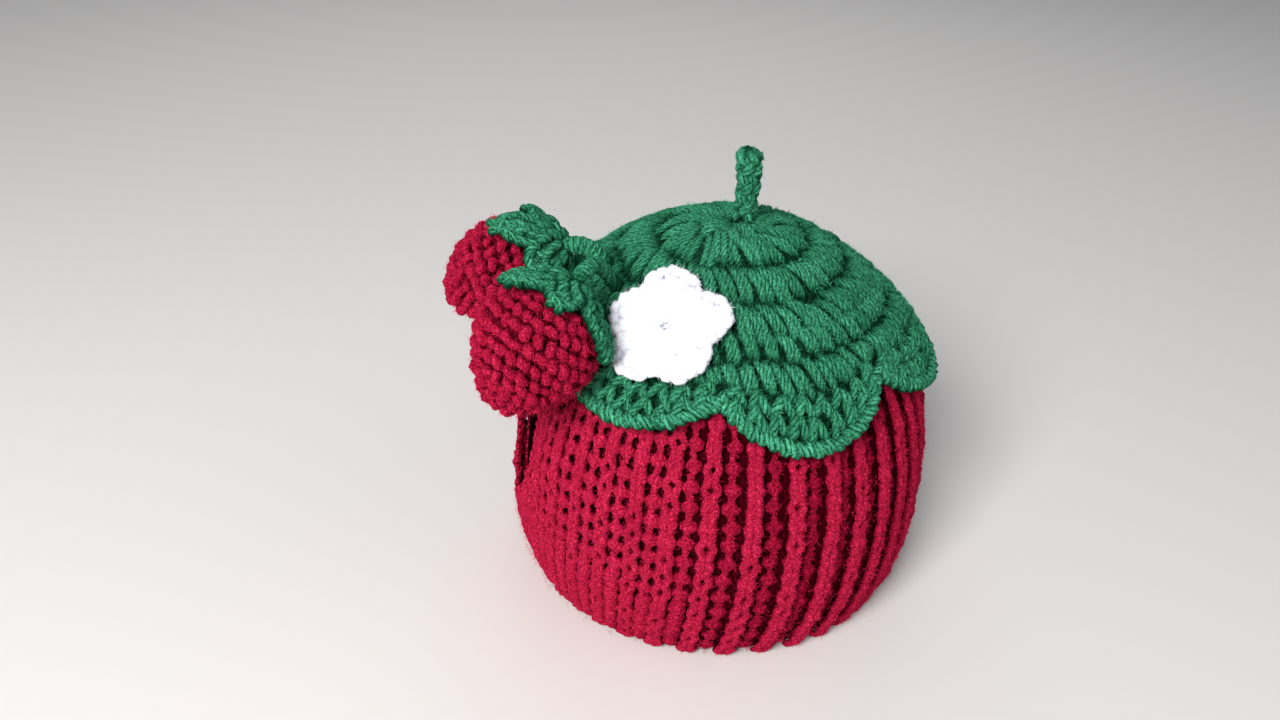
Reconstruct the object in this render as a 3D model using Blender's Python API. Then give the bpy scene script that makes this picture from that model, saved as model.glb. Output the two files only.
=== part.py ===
"""Crocheted tea cosy: a ribbed cover, a scalloped leaf cap with a stem, a blossom and two berries.

Metres, +Z up. The spout opening faces -X, the handle opening faces +X and the cosy stands on its
hem. A bearing is an angle about the upright axis, counted from -Y towards +X. An arc is a distance
along the cover's profile, counted from the top of its crown.
"""

import math

import bpy
import numpy as np
from mathutils import Vector

# The ribbed cover
BELLY_RADIUS = 0.086
BELLY_HEIGHT = 0.045
HEM_RADIUS = 0.0775
HEM_POWER = 2.6
CROWN_HEIGHT = 0.151
CROWN_POWER_UP = 2.48
CROWN_POWER_OUT = 1.76
CROWN_FLAT_RADIUS = 0.010
LENGTHWAYS_STRETCH = 1.025
RIB_COUNT = 40
RIB_DEPTH = 0.0034
RIB_COLUMNS = 4
RIB_FULL_HEIGHT = 0.118
RIB_FADE_HEIGHT = 0.130
# The ribs lean as they run down to the hem, and on the front they are pulled towards the spout.
RIB_LEAN = math.radians(-4.0)
RIB_LEAN_HEIGHT = 0.065
RIB_PULL = math.radians(-6.5)
RIB_PULL_BEARINGS = tuple(math.radians(angle) for angle in (-90.0, -55.0, -18.0, 20.0))
COVER_THICKNESS = 0.0064
HEM_ROUNDING = 0.0012

# The openings for the pot's spout and handle
SPOUT_BOTTOM = 0.032
SPOUT_TOP = 0.112
SPOUT_HALF_WIDTH = 0.027
HANDLE_BOTTOM = 0.046
HANDLE_TOP = 0.112
HANDLE_HALF_WIDTH = 0.009

# The leaf cap
CAP_GAP = 0.0005
CAP_THICKNESS = 0.0040
CAP_NOTCH_HEIGHT = 0.1135
CAP_ROUND_RADII = (0.0295, 0.0435, 0.0600)
CAP_GROOVE_DEPTH = 0.0013
CAP_GROOVE_REACH = 0.0022
LOBE_COLUMNS = 10
LOBE_BEARING = math.radians(11.9)
# One row for each lobe: how far it hangs below the notches, and how far its edge stands off.
LOBES = (
    {"drop": 0.0190, "flare": 0.0025},
    {"drop": 0.0170, "flare": 0.0035},
    {"drop": 0.0185, "flare": 0.0025},
    {"drop": 0.0175, "flare": 0.0030},
    {"drop": 0.0190, "flare": 0.0025},
    {"drop": 0.0090, "flare": 0.0015},
    {"drop": 0.0130, "flare": 0.0045},
)

# The stem on top of the cap
STEM_OFFSET = 0.0040
STEM_HEIGHT = 0.0280
STEM_RADIUS = 0.0049
STEM_FOOT_RADIUS = 0.0058
STEM_STRANDS = 3
STEM_TURNS = 1.3
STEM_LEAN = 0.0010

# The blossom sewn to the cap
BLOSSOM_BEARING = math.radians(-34.7)
BLOSSOM_RADIUS_ON_CAP = 0.0535
PETALS = (
    {"turn": math.radians(-103.0), "reach": 0.0112, "radius": 0.0098},
    {"turn": math.radians(-26.0), "reach": 0.0108, "radius": 0.0088},
    {"turn": math.radians(47.0), "reach": 0.0100, "radius": 0.0094},
    {"turn": math.radians(114.0), "reach": 0.0120, "radius": 0.0082},
    {"turn": math.radians(178.0), "reach": 0.0108, "radius": 0.0088},
)
BLOSSOM_COLUMNS = 72
RIM_BUMPS = 18
RIM_BUMP_DEPTH = 0.0005
BLOSSOM_THICKNESS = 0.0046

# The berries, their calyces and stalks. Leaf columns are arc lengths from the berry's pole.
BERRY_POWER = 0.62
BERRY_SKEW = 0.78
CALYX_CORE = 0.0085
CALYX_THICKNESS = 0.0024
CALYX_COLUMNS = 48
LEAF_HALF_WIDTH = math.radians(36.0)
SEAT_GAP = 0.0004
BERRIES = (
    {
        "name": "front",
        "centre": (-0.0822, -0.0476, 0.1268),
        "pole": (0.560, 0.220, 0.800),
        "length": 0.0470,
        "width": 0.0440,
        "anchor": {"bearing": math.radians(-66.0), "radius": 0.0480},
        "stalk_radius": 0.0027,
        "leaves": (
            {"turn": math.radians(305.0), "reach": 0.0255, "curl": 0.0015},
            {"turn": math.radians(32.0), "reach": 0.0200, "curl": 0.0015},
            {"turn": math.radians(104.0), "reach": 0.0165, "curl": 0.0030},
            {"turn": math.radians(174.0), "reach": 0.0210, "curl": 0.0035},
            {"turn": math.radians(229.0), "reach": 0.0172, "curl": 0.0025},
        ),
    },
    {
        "name": "back",
        "centre": (-0.0900, 0.0045, 0.1320),
        "pole": (0.836, -0.213, 0.480),
        "length": 0.0460,
        "width": 0.0410,
        "anchor": {"bearing": math.radians(-84.0), "radius": 0.0460},
        "stalk_radius": 0.0032,
        "leaves": (
            {"turn": math.radians(30.0), "reach": 0.0150, "curl": 0.0015},
            {"turn": math.radians(102.0), "reach": 0.0175, "curl": 0.0030},
            {"turn": math.radians(157.0), "reach": 0.0165, "curl": 0.0030},
            {"turn": math.radians(208.0), "reach": 0.0235, "curl": 0.0035},
            {"turn": math.radians(255.0), "reach": 0.0185, "curl": 0.0035},
        ),
    },
)

MATERIALS = {
    "red yarn": {"colour": (0.520, 0.010, 0.055, 1.0), "roughness": 0.85},
    "green yarn": {"colour": (0.018, 0.190, 0.075, 1.0), "roughness": 0.85},
    "white yarn": {"colour": (0.860, 0.880, 0.920, 1.0), "roughness": 0.80},
}

PROFILE_STEPS = 600


def clear_scene():
    """Removes every object of the open scene."""
    for old in list(bpy.data.objects):
        bpy.data.objects.remove(old, do_unlink=True)


def make_material(name):
    """Returns a Principled material of the named yarn."""
    material = bpy.data.materials.new(name)
    material.use_nodes = True
    shader = material.node_tree.nodes["Principled BSDF"]
    shader.inputs["Base Color"].default_value = MATERIALS[name]["colour"]
    shader.inputs["Roughness"].default_value = MATERIALS[name]["roughness"]
    shader.inputs["Metallic"].default_value = 0.0
    return material


# --- Closed bodies from rings -------------------------------------------------------------------


def bridge_rings(first, second):
    """Returns triangles between two rings of point numbers, one of which may be finer or a pole."""
    if len(first) < len(second):
        return [triangle[::-1] for triangle in bridge_rings(second, first)]
    count, coarse_count = len(first), len(second)
    if coarse_count == 1:
        return [(first[i], second[0], first[(i + 1) % count]) for i in range(count)]
    step = count // coarse_count
    triangles = []
    for i in range(coarse_count):
        here, following = second[i], second[(i + 1) % coarse_count]
        fine = [first[(i * step + j) % count] for j in range(step + 1)]
        middle = (step + 1) // 2
        for j in range(step):
            corner = here if j < middle else following
            triangles.append((fine[j], corner, fine[j + 1]))
        triangles.append((fine[middle], here, following))
    return triangles


def signed_volume(points, triangles):
    """Returns the volume inside the triangles, below zero when they face inwards."""
    corners = points[triangles]
    return np.einsum("ij,ij->i", corners[:, 0], np.cross(corners[:, 1], corners[:, 2])).sum() / 6


def body_from_rings(name, rings, material):
    """Returns an object whose closed surface runs through the rings in order, pole to pole."""
    starts = np.cumsum([0] + [len(ring) for ring in rings])
    numbers = [range(start, start + len(ring)) for start, ring in zip(starts, rings)]
    triangles = []
    for first, second in zip(numbers[:-1], numbers[1:]):
        triangles += bridge_rings(first, second)
    points = np.concatenate(rings)
    triangles = np.array(triangles)
    if signed_volume(points, triangles) < 0:
        triangles = triangles[:, ::-1]
    mesh = bpy.data.meshes.new(name)
    mesh.from_pydata(points.tolist(), [], triangles.tolist())
    mesh.materials.append(material)
    mesh.shade_smooth()
    solid = bpy.data.objects.new(name, mesh)
    bpy.context.scene.collection.objects.link(solid)
    return solid


def bearings(count):
    """Returns evenly spaced bearings, the first at -Y."""
    return np.arange(count) * (2 * math.pi / count)


# --- The cover's profile ------------------------------------------------------------------------


def crest_radius(height):
    """Returns the radius at the rib crests: a power curve below the belly, a superellipse above."""
    skirt = 1 - np.clip(height / BELLY_HEIGHT, 0, 1)
    crown = np.clip((height - BELLY_HEIGHT) / (CROWN_HEIGHT - BELLY_HEIGHT), 0, 1)
    low = BELLY_RADIUS - (BELLY_RADIUS - HEM_RADIUS) * skirt**HEM_POWER
    high = BELLY_RADIUS * (1 - crown**CROWN_POWER_UP) ** (1 / CROWN_POWER_OUT)
    return np.where(height < BELLY_HEIGHT, low, high)


def trace_profile():
    """Returns radius, height and arc along the crests, from the flat crown down to the hem."""
    turn = np.linspace(0, math.pi / 2, PROFILE_STEPS)
    high = BELLY_HEIGHT + (CROWN_HEIGHT - BELLY_HEIGHT) * np.cos(turn)
    low = np.linspace(BELLY_HEIGHT, 0, PROFILE_STEPS)[1:]
    heights = np.concatenate([high, low])
    radii = crest_radius(heights)
    kept = radii > CROWN_FLAT_RADIUS
    heights, radii = heights[kept], radii[kept]
    heights = np.concatenate([[heights[0], heights[0]], heights])
    radii = np.concatenate([[0, CROWN_FLAT_RADIUS / 2], radii])
    arcs = np.concatenate([[0], np.cumsum(np.hypot(np.diff(radii), np.diff(heights)))])
    return radii, heights, arcs


RADII, HEIGHTS, ARCS = trace_profile()
OUTWARD_R = np.gradient(-HEIGHTS, ARCS)
OUTWARD_Z = np.gradient(RADII, ARCS)
COVER_ARC = ARCS[-1]


def arc_at_height(height):
    """Returns the arc at which the profile passes this height."""
    return float(np.interp(-height, -HEIGHTS[1:], ARCS[1:]))


def arc_at_radius(radius):
    """Returns the arc on the crown at which the profile has this radius."""
    widest = int(np.argmax(RADII))
    return float(np.interp(radius, RADII[:widest], ARCS[:widest]))


def on_profile(bearing, arc, lift):
    """Returns points at the bearings and arcs, lifted off the crests along their normal."""
    bearing, arc, lift = np.broadcast_arrays(bearing, arc, lift)
    radius = np.interp(arc, ARCS, RADII) + lift * np.interp(arc, ARCS, OUTWARD_R)
    height = np.interp(arc, ARCS, HEIGHTS) + lift * np.interp(arc, ARCS, OUTWARD_Z)
    lengthways = LENGTHWAYS_STRETCH * radius * np.sin(bearing)
    return np.stack([lengthways, -radius * np.cos(bearing), height], axis=-1)


def profile_normal(bearing, arc):
    """Returns the outward unit normal of the crest surface at one place."""
    out, up = np.interp(arc, ARCS, OUTWARD_R), np.interp(arc, ARCS, OUTWARD_Z)
    return np.array([out * math.sin(bearing), -out * math.cos(bearing), up])


# --- The ribbed cover ---------------------------------------------------------------------------


def rib_swing(bearing, arc):
    """Returns how far a rib stands aside of its even place: its lean low down and the pull in front.

    The lean grows with the square of the way down, and the pull eases in and out of its bearings.
    """
    low = np.clip(1 - np.interp(arc, ARCS, HEIGHTS) / RIB_LEAN_HEIGHT, 0, 1)
    round_front = np.mod(bearing + math.pi, 2 * math.pi) - math.pi
    share = np.interp(round_front, RIB_PULL_BEARINGS, (0.0, 1.0, 1.0, 0.0))
    return RIB_LEAN * low**2 + RIB_PULL * share**2 * (3 - 2 * share)


def rib_sink(bearing, arc):
    """Returns how far the surface lies under the crests: a cosine across each rib, faded on top."""
    height = np.interp(arc, ARCS, HEIGHTS)
    fade = np.interp(height, [RIB_FULL_HEIGHT, RIB_FADE_HEIGHT], [1.0, 0.0])
    return RIB_DEPTH * fade * (0.5 - 0.5 * np.cos(RIB_COUNT * bearing))


def flat_ring(radius_points, height):
    """Returns the ring of points laid flat at one height."""
    ring = radius_points.copy()
    ring[:, 2] = height
    return ring


def make_cutter(name, facing, bottom, top, half_width):
    """Returns a hidden prism of pointed-oval section that reaches out from the axis along X."""
    steps = 9
    rise = np.linspace(0, 1, steps)
    width = half_width * np.sin(math.pi * rise) ** 0.7
    height = bottom + (top - bottom) * rise
    outline = np.concatenate(
        [
            np.stack([width, height], axis=-1),
            np.stack([-width, height], axis=-1)[-2:0:-1],
        ]
    )
    ends = (0.3 * BELLY_RADIUS * facing, 1.3 * BELLY_RADIUS * facing)
    rings = []
    for end in ends:
        along = np.full((len(outline), 1), end)
        rings.append(np.concatenate([along, outline], axis=1))
    middles = [ring.mean(axis=0, keepdims=True) for ring in rings]
    cutter = body_from_rings(name, [middles[0], *rings, middles[1]], None)
    cutter.hide_render = True
    cutter.display_type = "WIRE"
    return cutter


def cut_opening(solid, cutter):
    """Adds an exact Boolean that takes the cutter out of the solid."""
    modifier = solid.modifiers.new(cutter.name, "BOOLEAN")
    modifier.operation = "DIFFERENCE"
    modifier.solver = "EXACT"
    modifier.object = cutter


def make_cover(material):
    """Returns the hollow ribbed cover, open at its hem, with its spout and handle openings."""
    fine, coarse = bearings(RIB_COUNT * RIB_COLUMNS), bearings(RIB_COUNT)
    fade_arc = arc_at_height(RIB_FADE_HEIGHT)
    full_arc = arc_at_height(RIB_FULL_HEIGHT)
    crown_arcs = np.linspace(CROWN_FLAT_RADIUS, fade_arc, 6)
    rib_arcs = np.linspace(full_arc, COVER_ARC - 2 * HEM_ROUNDING, 11)
    rings = [on_profile(0.0, 0.0, 0.0)[None]]
    rings += [on_profile(coarse, arc, 0.0) for arc in crown_arcs]
    for arc in rib_arcs:
        rings.append(on_profile(fine + rib_swing(fine, arc), arc, -rib_sink(fine, arc)))
    hem_sink = rib_sink(fine, COVER_ARC) + HEM_ROUNDING
    hem_bearings = fine + rib_swing(fine, COVER_ARC)
    rings.append(flat_ring(on_profile(hem_bearings, COVER_ARC, -hem_sink), 0.0))
    inner_arcs = np.linspace(COVER_ARC, CROWN_FLAT_RADIUS, 15)
    rings.append(flat_ring(on_profile(coarse, inner_arcs[0], -COVER_THICKNESS), 0.0))
    rings += [on_profile(coarse, arc, -COVER_THICKNESS) for arc in inner_arcs[1:]]
    rings.append(on_profile(0.0, 0.0, -COVER_THICKNESS)[None])
    cover = body_from_rings("ribbed_cover", rings, material)
    spout = make_cutter("spout_cutter", -1, SPOUT_BOTTOM, SPOUT_TOP, SPOUT_HALF_WIDTH)
    handle = make_cutter("handle_cutter", 1, HANDLE_BOTTOM, HANDLE_TOP, HANDLE_HALF_WIDTH)
    cut_opening(cover, spout)
    cut_opening(cover, handle)
    return cover


# --- The leaf cap -------------------------------------------------------------------------------


def lobe_shape(bearing):
    """Returns the lobe number and how full it is, 0 at a notch and 1 at the lobe's middle."""
    width = 2 * math.pi / len(LOBES)
    turned = np.mod(bearing - LOBE_BEARING + width / 2, 2 * math.pi)
    number = np.minimum((turned / width).astype(int), len(LOBES) - 1)
    return number, np.sin(math.pi * (turned / width - number)) ** 0.75


def cap_edge(bearing):
    """Returns the arc of the cap's edge, which hangs lowest at the middle of each lobe."""
    number, fullness = lobe_shape(np.asarray(bearing, float))
    drop = np.array([lobe["drop"] for lobe in LOBES])[number]
    return arc_at_height(CAP_NOTCH_HEIGHT) + drop * fullness


def cap_flare(bearing, arc):
    """Returns how far the cap stands off, which grows with the square of the way to the edge."""
    number, fullness = lobe_shape(np.asarray(bearing, float))
    flare = np.array([lobe["flare"] for lobe in LOBES])[number]
    start = arc_at_radius(CAP_ROUND_RADII[-1])
    way = np.clip((arc - start) / (cap_edge(bearing) - start), 0, 1)
    return flare * fullness * way**2


def make_cap(material):
    """Returns the cap: a domed shell with three grooves between its rounds and a lobed edge."""
    columns = bearings(len(LOBES) * LOBE_COLUMNS) + LOBE_BEARING
    top_lift = CAP_GAP + CAP_THICKNESS
    rounds = [arc_at_radius(radius) for radius in CAP_ROUND_RADII]
    outer = [(arc_at_radius(0.010), 0.0)]
    outer += [(0.5 * (outer[0][0] + rounds[0]), 0.0)]
    for number, arc in enumerate(rounds):
        outer += [(arc - CAP_GROOVE_REACH, 0.0), (arc, CAP_GROOVE_DEPTH)]
        outer += [(arc + CAP_GROOVE_REACH, 0.0)]
        if number + 1 < len(rounds):
            outer += [(0.5 * (arc + rounds[number + 1]), 0.0)]
    rings = [on_profile(0.0, 0.0, top_lift)[None]]
    rings += [on_profile(columns, arc, top_lift - sink) for arc, sink in outer]
    start, edge = outer[-1][0], cap_edge(columns)
    for way in (0.3, 0.6, 0.85, 0.97):
        arc = start + (edge - start) * way
        rings.append(on_profile(columns, arc, top_lift + cap_flare(columns, arc)))
    edge_flare = cap_flare(columns, edge)
    rings.append(on_profile(columns, edge, CAP_GAP + 0.6 * CAP_THICKNESS + edge_flare))
    for way in (0.97, 0.75, 0.5, 0.2):
        arc = start + (edge - start) * way
        rings.append(on_profile(columns, arc, CAP_GAP + cap_flare(columns, arc)))
    for arc in np.linspace(start, 0.010, 8):
        rings.append(on_profile(columns, arc, CAP_GAP))
    rings.append(on_profile(0.0, 0.0, CAP_GAP)[None])
    return body_from_rings("leaf_cap", rings, material)


def make_stem(material):
    """Returns the stem: a twisted three-strand cord with a spread foot and a rounded tip."""
    columns = bearings(18)
    foot = HEIGHTS[0] + CAP_GAP + CAP_THICKNESS + SEAT_GAP
    rise = np.array([0.0, 0.06, 0.14, 0.24, 0.34, 0.44, 0.54, 0.64, 0.74, 0.83, 0.91, 0.97])
    shoulder = np.sqrt(np.clip(1 - np.clip((rise - 0.84) / 0.16, 0, 1) ** 2, 0, 1))
    spread = (STEM_FOOT_RADIUS - STEM_RADIUS) * np.exp(-rise * 12)
    sideways = STEM_OFFSET + STEM_LEAN * np.sin(math.pi * rise)
    middle = np.stack([sideways, 0 * rise, foot + STEM_HEIGHT * rise], axis=-1)
    rings = [middle[:1]]
    for row, centre in enumerate(middle):
        twist = STEM_STRANDS * (columns - 2 * math.pi * STEM_TURNS * rise[row])
        radius = (STEM_RADIUS * shoulder[row] + spread[row]) * (1 + 0.09 * np.cos(twist))
        ring = np.stack([radius * np.cos(columns), radius * np.sin(columns), 0 * columns], axis=-1)
        rings.append(centre + ring)
    rings.append(np.array([[STEM_OFFSET, 0.0, foot + STEM_HEIGHT]]))
    return body_from_rings("stem", rings, material)


# --- The blossom --------------------------------------------------------------------------------


def petal_outline(turn):
    """Returns the distance to the blossom's edge: five overlapping circles with a bumpy rim."""
    rims = []
    for petal in PETALS:
        off = turn - petal["turn"]
        side = petal["reach"] * np.sin(off)
        chord = np.sqrt(np.clip(petal["radius"] ** 2 - side**2, 0, None))
        crossed = (chord > 0) & (np.cos(off) > 0)
        rims.append(np.where(crossed, petal["reach"] * np.cos(off) + chord, 0.0))
    return np.max(rims, axis=0) + RIM_BUMP_DEPTH * np.cos(RIM_BUMPS * turn)


def make_blossom(material):
    """Returns the blossom: a flat five-petalled flower bent over the cap's shoulder."""
    turn = bearings(BLOSSOM_COLUMNS)
    outline = petal_outline(turn)
    centre_arc = arc_at_radius(BLOSSOM_RADIUS_ON_CAP)
    seat = CAP_GAP + CAP_THICKNESS + 2 * SEAT_GAP

    def place(way, height):
        down = way * outline * np.sin(turn)
        across = way * outline * np.cos(turn)
        arc = centre_arc + down
        bearing = BLOSSOM_BEARING + across / np.interp(arc, ARCS, RADII)
        return on_profile(bearing, arc, seat + height + cap_flare(bearing, arc))

    middle = place(0.0, 0.7 * BLOSSOM_THICKNESS)[:1]
    rings = [middle]
    rows = ((0.25, 0.75), (0.5, 0.95), (0.75, 1.0), (0.93, 0.75), (1.0, 0.42), (0.95, 0.0))
    rings += [place(way, share * BLOSSOM_THICKNESS) for way, share in rows]
    rings += [place(way, 0.0) for way in (0.7, 0.45, 0.2)]
    rings.append(place(0.0, 0.0)[:1])
    return body_from_rings("blossom", rings, material)


# --- The berries --------------------------------------------------------------------------------


def berry_frame(berry):
    """Returns the berry's pole direction, the direction of its under side and its third axis."""
    pole = Vector(berry["pole"]).normalized()
    down = Vector((0, 0, -1))
    down = (down - down.dot(pole) * pole).normalized()
    return np.array(pole), np.array(down), np.array(pole.cross(down))


def berry_profile(berry):
    """Returns radius, distance towards the tip and arc along the berry's side, from its pole."""
    step = 0.5 - 0.5 * np.cos(np.linspace(0, math.pi, PROFILE_STEPS))
    radius = 0.5 * berry["width"] * np.sin(math.pi * step**BERRY_SKEW) ** BERRY_POWER
    depth = berry["length"] * step
    arc = np.concatenate([[0], np.cumsum(np.hypot(np.diff(radius), np.diff(depth)))])
    return radius, depth, arc


def on_berry(berry, turn, arc, lift):
    """Returns points on the berry at turns about its pole and arcs from it, lifted off its side."""
    turn, arc, lift = np.broadcast_arrays(turn, arc, lift)
    radii, depths, arcs = berry_profile(berry)
    out, back = np.gradient(depths, arcs), np.gradient(-radii, arcs)
    radius = np.interp(arc, arcs, radii) + lift * np.interp(arc, arcs, out)
    depth = np.interp(arc, arcs, depths) + lift * np.interp(arc, arcs, back)
    pole, under, side = berry_frame(berry)
    along = 0.5 * berry["length"] - depth
    around = np.cos(turn)[..., None] * under + np.sin(turn)[..., None] * side
    return np.array(berry["centre"]) + along[..., None] * pole + radius[..., None] * around


def make_berry(berry, material):
    """Returns one stuffed berry, widest near its calyx and rounded at its tip."""
    turns = bearings(30)
    whole = berry_profile(berry)[2][-1]
    rings = [on_berry(berry, 0.0, 0.0, 0.0)[None]]
    rings += [on_berry(berry, turns, arc, 0.0) for arc in np.linspace(0, whole, 17)[1:-1]]
    rings.append(on_berry(berry, 0.0, whole, 0.0)[None])
    return body_from_rings("berry_" + berry["name"], rings, material)


def make_calyx(berry, material):
    """Returns the calyx: a star of five leaves over the berry's pole, their tips curled away."""
    turns = bearings(CALYX_COLUMNS)
    beyond, curls = [], []
    for leaf in berry["leaves"]:
        off = np.mod(turns - leaf["turn"] + math.pi, 2 * math.pi) - math.pi
        fullness = np.cos(0.5 * math.pi * np.clip(off / LEAF_HALF_WIDTH, -1, 1)).clip(0, 1)
        beyond.append((leaf["reach"] - CALYX_CORE) * fullness**1.5)
        curls.append(leaf["curl"] * fullness)
    edge, curl = CALYX_CORE + np.max(beyond, axis=0), np.max(curls, axis=0)

    def place(way, height):
        lift = 2 * SEAT_GAP + height + curl * way**2
        return on_berry(berry, turns, way * edge, lift)

    rings = [place(0.0, CALYX_THICKNESS)[:1]]
    rings += [place(way, CALYX_THICKNESS) for way in (0.3, 0.6, 0.85)]
    rings.append(place(1.0, 0.5 * CALYX_THICKNESS))
    rings += [place(way, 0.0) for way in (0.88, 0.6, 0.3)]
    rings.append(place(0.0, 0.0)[:1])
    return body_from_rings("calyx_" + berry["name"], rings, material)


def make_stalk(berry, material):
    """Returns the short cord from the calyx to the cap, on a cubic between their two normals."""
    pole = berry_frame(berry)[0]
    anchor_arc = arc_at_radius(berry["anchor"]["radius"])
    bearing = berry["anchor"]["bearing"]
    start_lift = 3 * SEAT_GAP + CALYX_THICKNESS
    start = on_berry(berry, 0.0, 0.0, start_lift)
    end_lift = CAP_GAP + CAP_THICKNESS + SEAT_GAP
    end = on_profile(bearing, anchor_arc, end_lift)
    normal = profile_normal(bearing, anchor_arc)
    pull = 0.5 * np.linalg.norm(end - start)
    t = np.linspace(0, 1, 10)[:, None]
    controls = (start, start + pull * pole, end + pull * normal, end)
    weights = ((1 - t) ** 3, 3 * t * (1 - t) ** 2, 3 * t**2 * (1 - t), t**3)
    path = sum(weight * control for weight, control in zip(weights, controls))
    along = np.gradient(path, axis=0)
    along[0], along[-1] = pole, -normal
    along /= np.linalg.norm(along, axis=1, keepdims=True)
    side = np.cross(along, [0.0, 1.0, 0.2])
    side /= np.linalg.norm(side, axis=1, keepdims=True)
    other = np.cross(along, side)
    turn = bearings(10)
    rings = [path[:1]]
    for centre, one, two in zip(path, side, other):
        around = np.cos(turn)[:, None] * one + np.sin(turn)[:, None] * two
        rings.append(centre + berry["stalk_radius"] * around)
    rings.append(path[-1:])
    return body_from_rings("stalk_" + berry["name"], rings, material)


def stand_on_origin(solids):
    """Moves every solid so that the middle of the whole box's under side is the origin."""
    graph = bpy.context.evaluated_depsgraph_get()
    corners = []
    for solid in solids:
        box = solid.evaluated_get(graph).bound_box
        corners += [solid.matrix_world @ Vector(corner) for corner in box]
    corners = np.array(corners)
    low, high = corners.min(axis=0), corners.max(axis=0)
    shift = -Vector((0.5 * (low[0] + high[0]), 0.5 * (low[1] + high[1]), low[2]))
    for thing in bpy.data.objects:
        thing.location += shift


def main():
    """Builds the cosy's pieces and stands them on the origin."""
    clear_scene()
    red, green, white = (make_material(name) for name in MATERIALS)
    solids = [make_cover(red), make_cap(green), make_stem(green), make_blossom(white)]
    for berry in BERRIES:
        solids.append(make_berry(berry, red))
        solids.append(make_calyx(berry, green))
        solids.append(make_stalk(berry, green))
    bpy.context.view_layer.update()
    stand_on_origin(solids)


main()
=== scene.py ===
"""Crocheted tea cosy: a ribbed cover, a leaf cap with a stem, a blossom and two stuffed berries.

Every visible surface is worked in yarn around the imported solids. Metres, +Z up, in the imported
frame. A bearing is an angle about the upright axis, counted from -Y towards +X. An arc is a
distance along the cover's profile, counted from the top of its crown down to the hem.
"""

import logging
import math
from dataclasses import dataclass, replace
from enum import Enum
from functools import cached_property

import bmesh
import bpy
import numpy as np
from mathutils import Matrix, Vector


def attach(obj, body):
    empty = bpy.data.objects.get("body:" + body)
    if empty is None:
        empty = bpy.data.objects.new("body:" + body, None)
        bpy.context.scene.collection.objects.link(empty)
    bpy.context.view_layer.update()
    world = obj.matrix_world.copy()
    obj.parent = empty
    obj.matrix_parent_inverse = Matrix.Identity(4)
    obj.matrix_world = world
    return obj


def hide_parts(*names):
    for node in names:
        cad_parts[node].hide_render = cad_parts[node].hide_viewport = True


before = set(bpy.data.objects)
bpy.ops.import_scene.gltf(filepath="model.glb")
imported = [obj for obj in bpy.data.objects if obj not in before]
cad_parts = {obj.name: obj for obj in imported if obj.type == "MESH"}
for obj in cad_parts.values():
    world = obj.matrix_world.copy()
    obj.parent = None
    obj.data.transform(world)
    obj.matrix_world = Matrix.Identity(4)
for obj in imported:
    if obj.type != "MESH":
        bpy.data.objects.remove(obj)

# Short names for the types that come up most.
Array = np.ndarray
Floats = tuple[float, ...]
Two = tuple[float, float]
Three = tuple[float, float, float]
Four = tuple[float, float, float, float]
Material = bpy.types.Material
NodeTree = bpy.types.NodeTree
Object = bpy.types.Object
Socket = bpy.types.NodeSocket

LOG = logging.getLogger("tea_cosy")
# The body that every piece rides on.
BODY = "root"
# The cosy's upright axis, and a full turn.
AXIS = np.array([0.01117, -0.00009, 0.0])
FULL = 2 * math.pi
# How far a strand sways off its line, and how far its radius varies as a share of it.
WOBBLE = 0.00025
LUMPS = 0.075
# The loose fibres' radius, and their least and greatest length.
FIBRE_RADIUS = 0.000090
FIBRE_LENGTHS = (0.0008, 0.0026)
# The tint that no strand passes.
BRIGHTEST = 1.2
# The map's name on every mesh.
MAP = "yarn"


class Slot(Enum):
    """The material slots that the plan lists with each part."""

    RED = "red_yarn"
    GREEN = "green_yarn"
    WHITE = "white_yarn"


class Hold(Enum):
    """How a piece of cloth is held."""

    STRETCHED = "stretched"
    DRAPED = "draped"
    LAID = "laid"


# --- Meshes from whole arrays ---


def unit(vectors: Array) -> Array:
    """Returns the vectors along the last axis at length one."""
    return vectors / np.maximum(np.linalg.norm(vectors, axis=-1, keepdims=True), 1e-12)


def wrapped(angle: Array) -> Array:
    """Returns the angle brought between minus and plus half a turn."""
    return np.mod(angle + math.pi, FULL) - math.pi


def plateau(angle: Array, marks: Floats) -> Array:
    """Returns 1 between the inner two of four angles, eased to 0 at the outer two."""
    share = np.interp(wrapped(angle), marks, (0.0, 1.0, 1.0, 0.0))
    return share**2 * (3 - 2 * share)


def spaced(count: int, shift: Array | float = 0.0) -> Array:
    """Returns angles evenly round a full turn, moved on by a share of one step."""
    return FULL * (np.arange(count) + shift) / count


def travelled(steps: Array) -> Array:
    """Returns how far along a path its points lie, from the steps between them."""
    return np.concatenate([[0], np.cumsum(steps)])


def radians(*degrees: float) -> Floats:
    """Returns the angles in radians."""
    return tuple(math.radians(angle) for angle in degrees)


def tints(rng: np.random.Generator, count: int, middle: float = 0.5, spread: float = 0.22) -> Array:
    """Returns a tint from 0 to 1 for each strand, by chance about the middle."""
    return np.clip(rng.normal(middle, spread, count), 0, 1)


def grid_quads(rings: int, columns: int) -> tuple[Array, Array, Array]:
    """Joins each ring of points to the next, and each ring's last point to its first.

    Args:
        rings: how many rings.
        columns: how many points a ring has.

    Returns:
        (n, 4) point numbers, and the ring and the column at which each quad starts.
    """
    ring, column = np.indices((rings - 1, columns)).reshape(2, -1)
    after = (column + 1) % columns
    low, high = ring * columns, (ring + 1) * columns
    return np.stack([low + column, high + column, high + after, low + after], -1), ring, column


def quad_corners(near: Array, far: Array, low: Array, high: Array) -> Array:
    """Returns the corners' map points: near and low, far and low, far and high, near and high."""
    corners = ((near, low), (far, low), (far, high), (near, high))
    return np.stack([np.stack(pair, axis=-1) for pair in corners], axis=-2)


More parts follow.
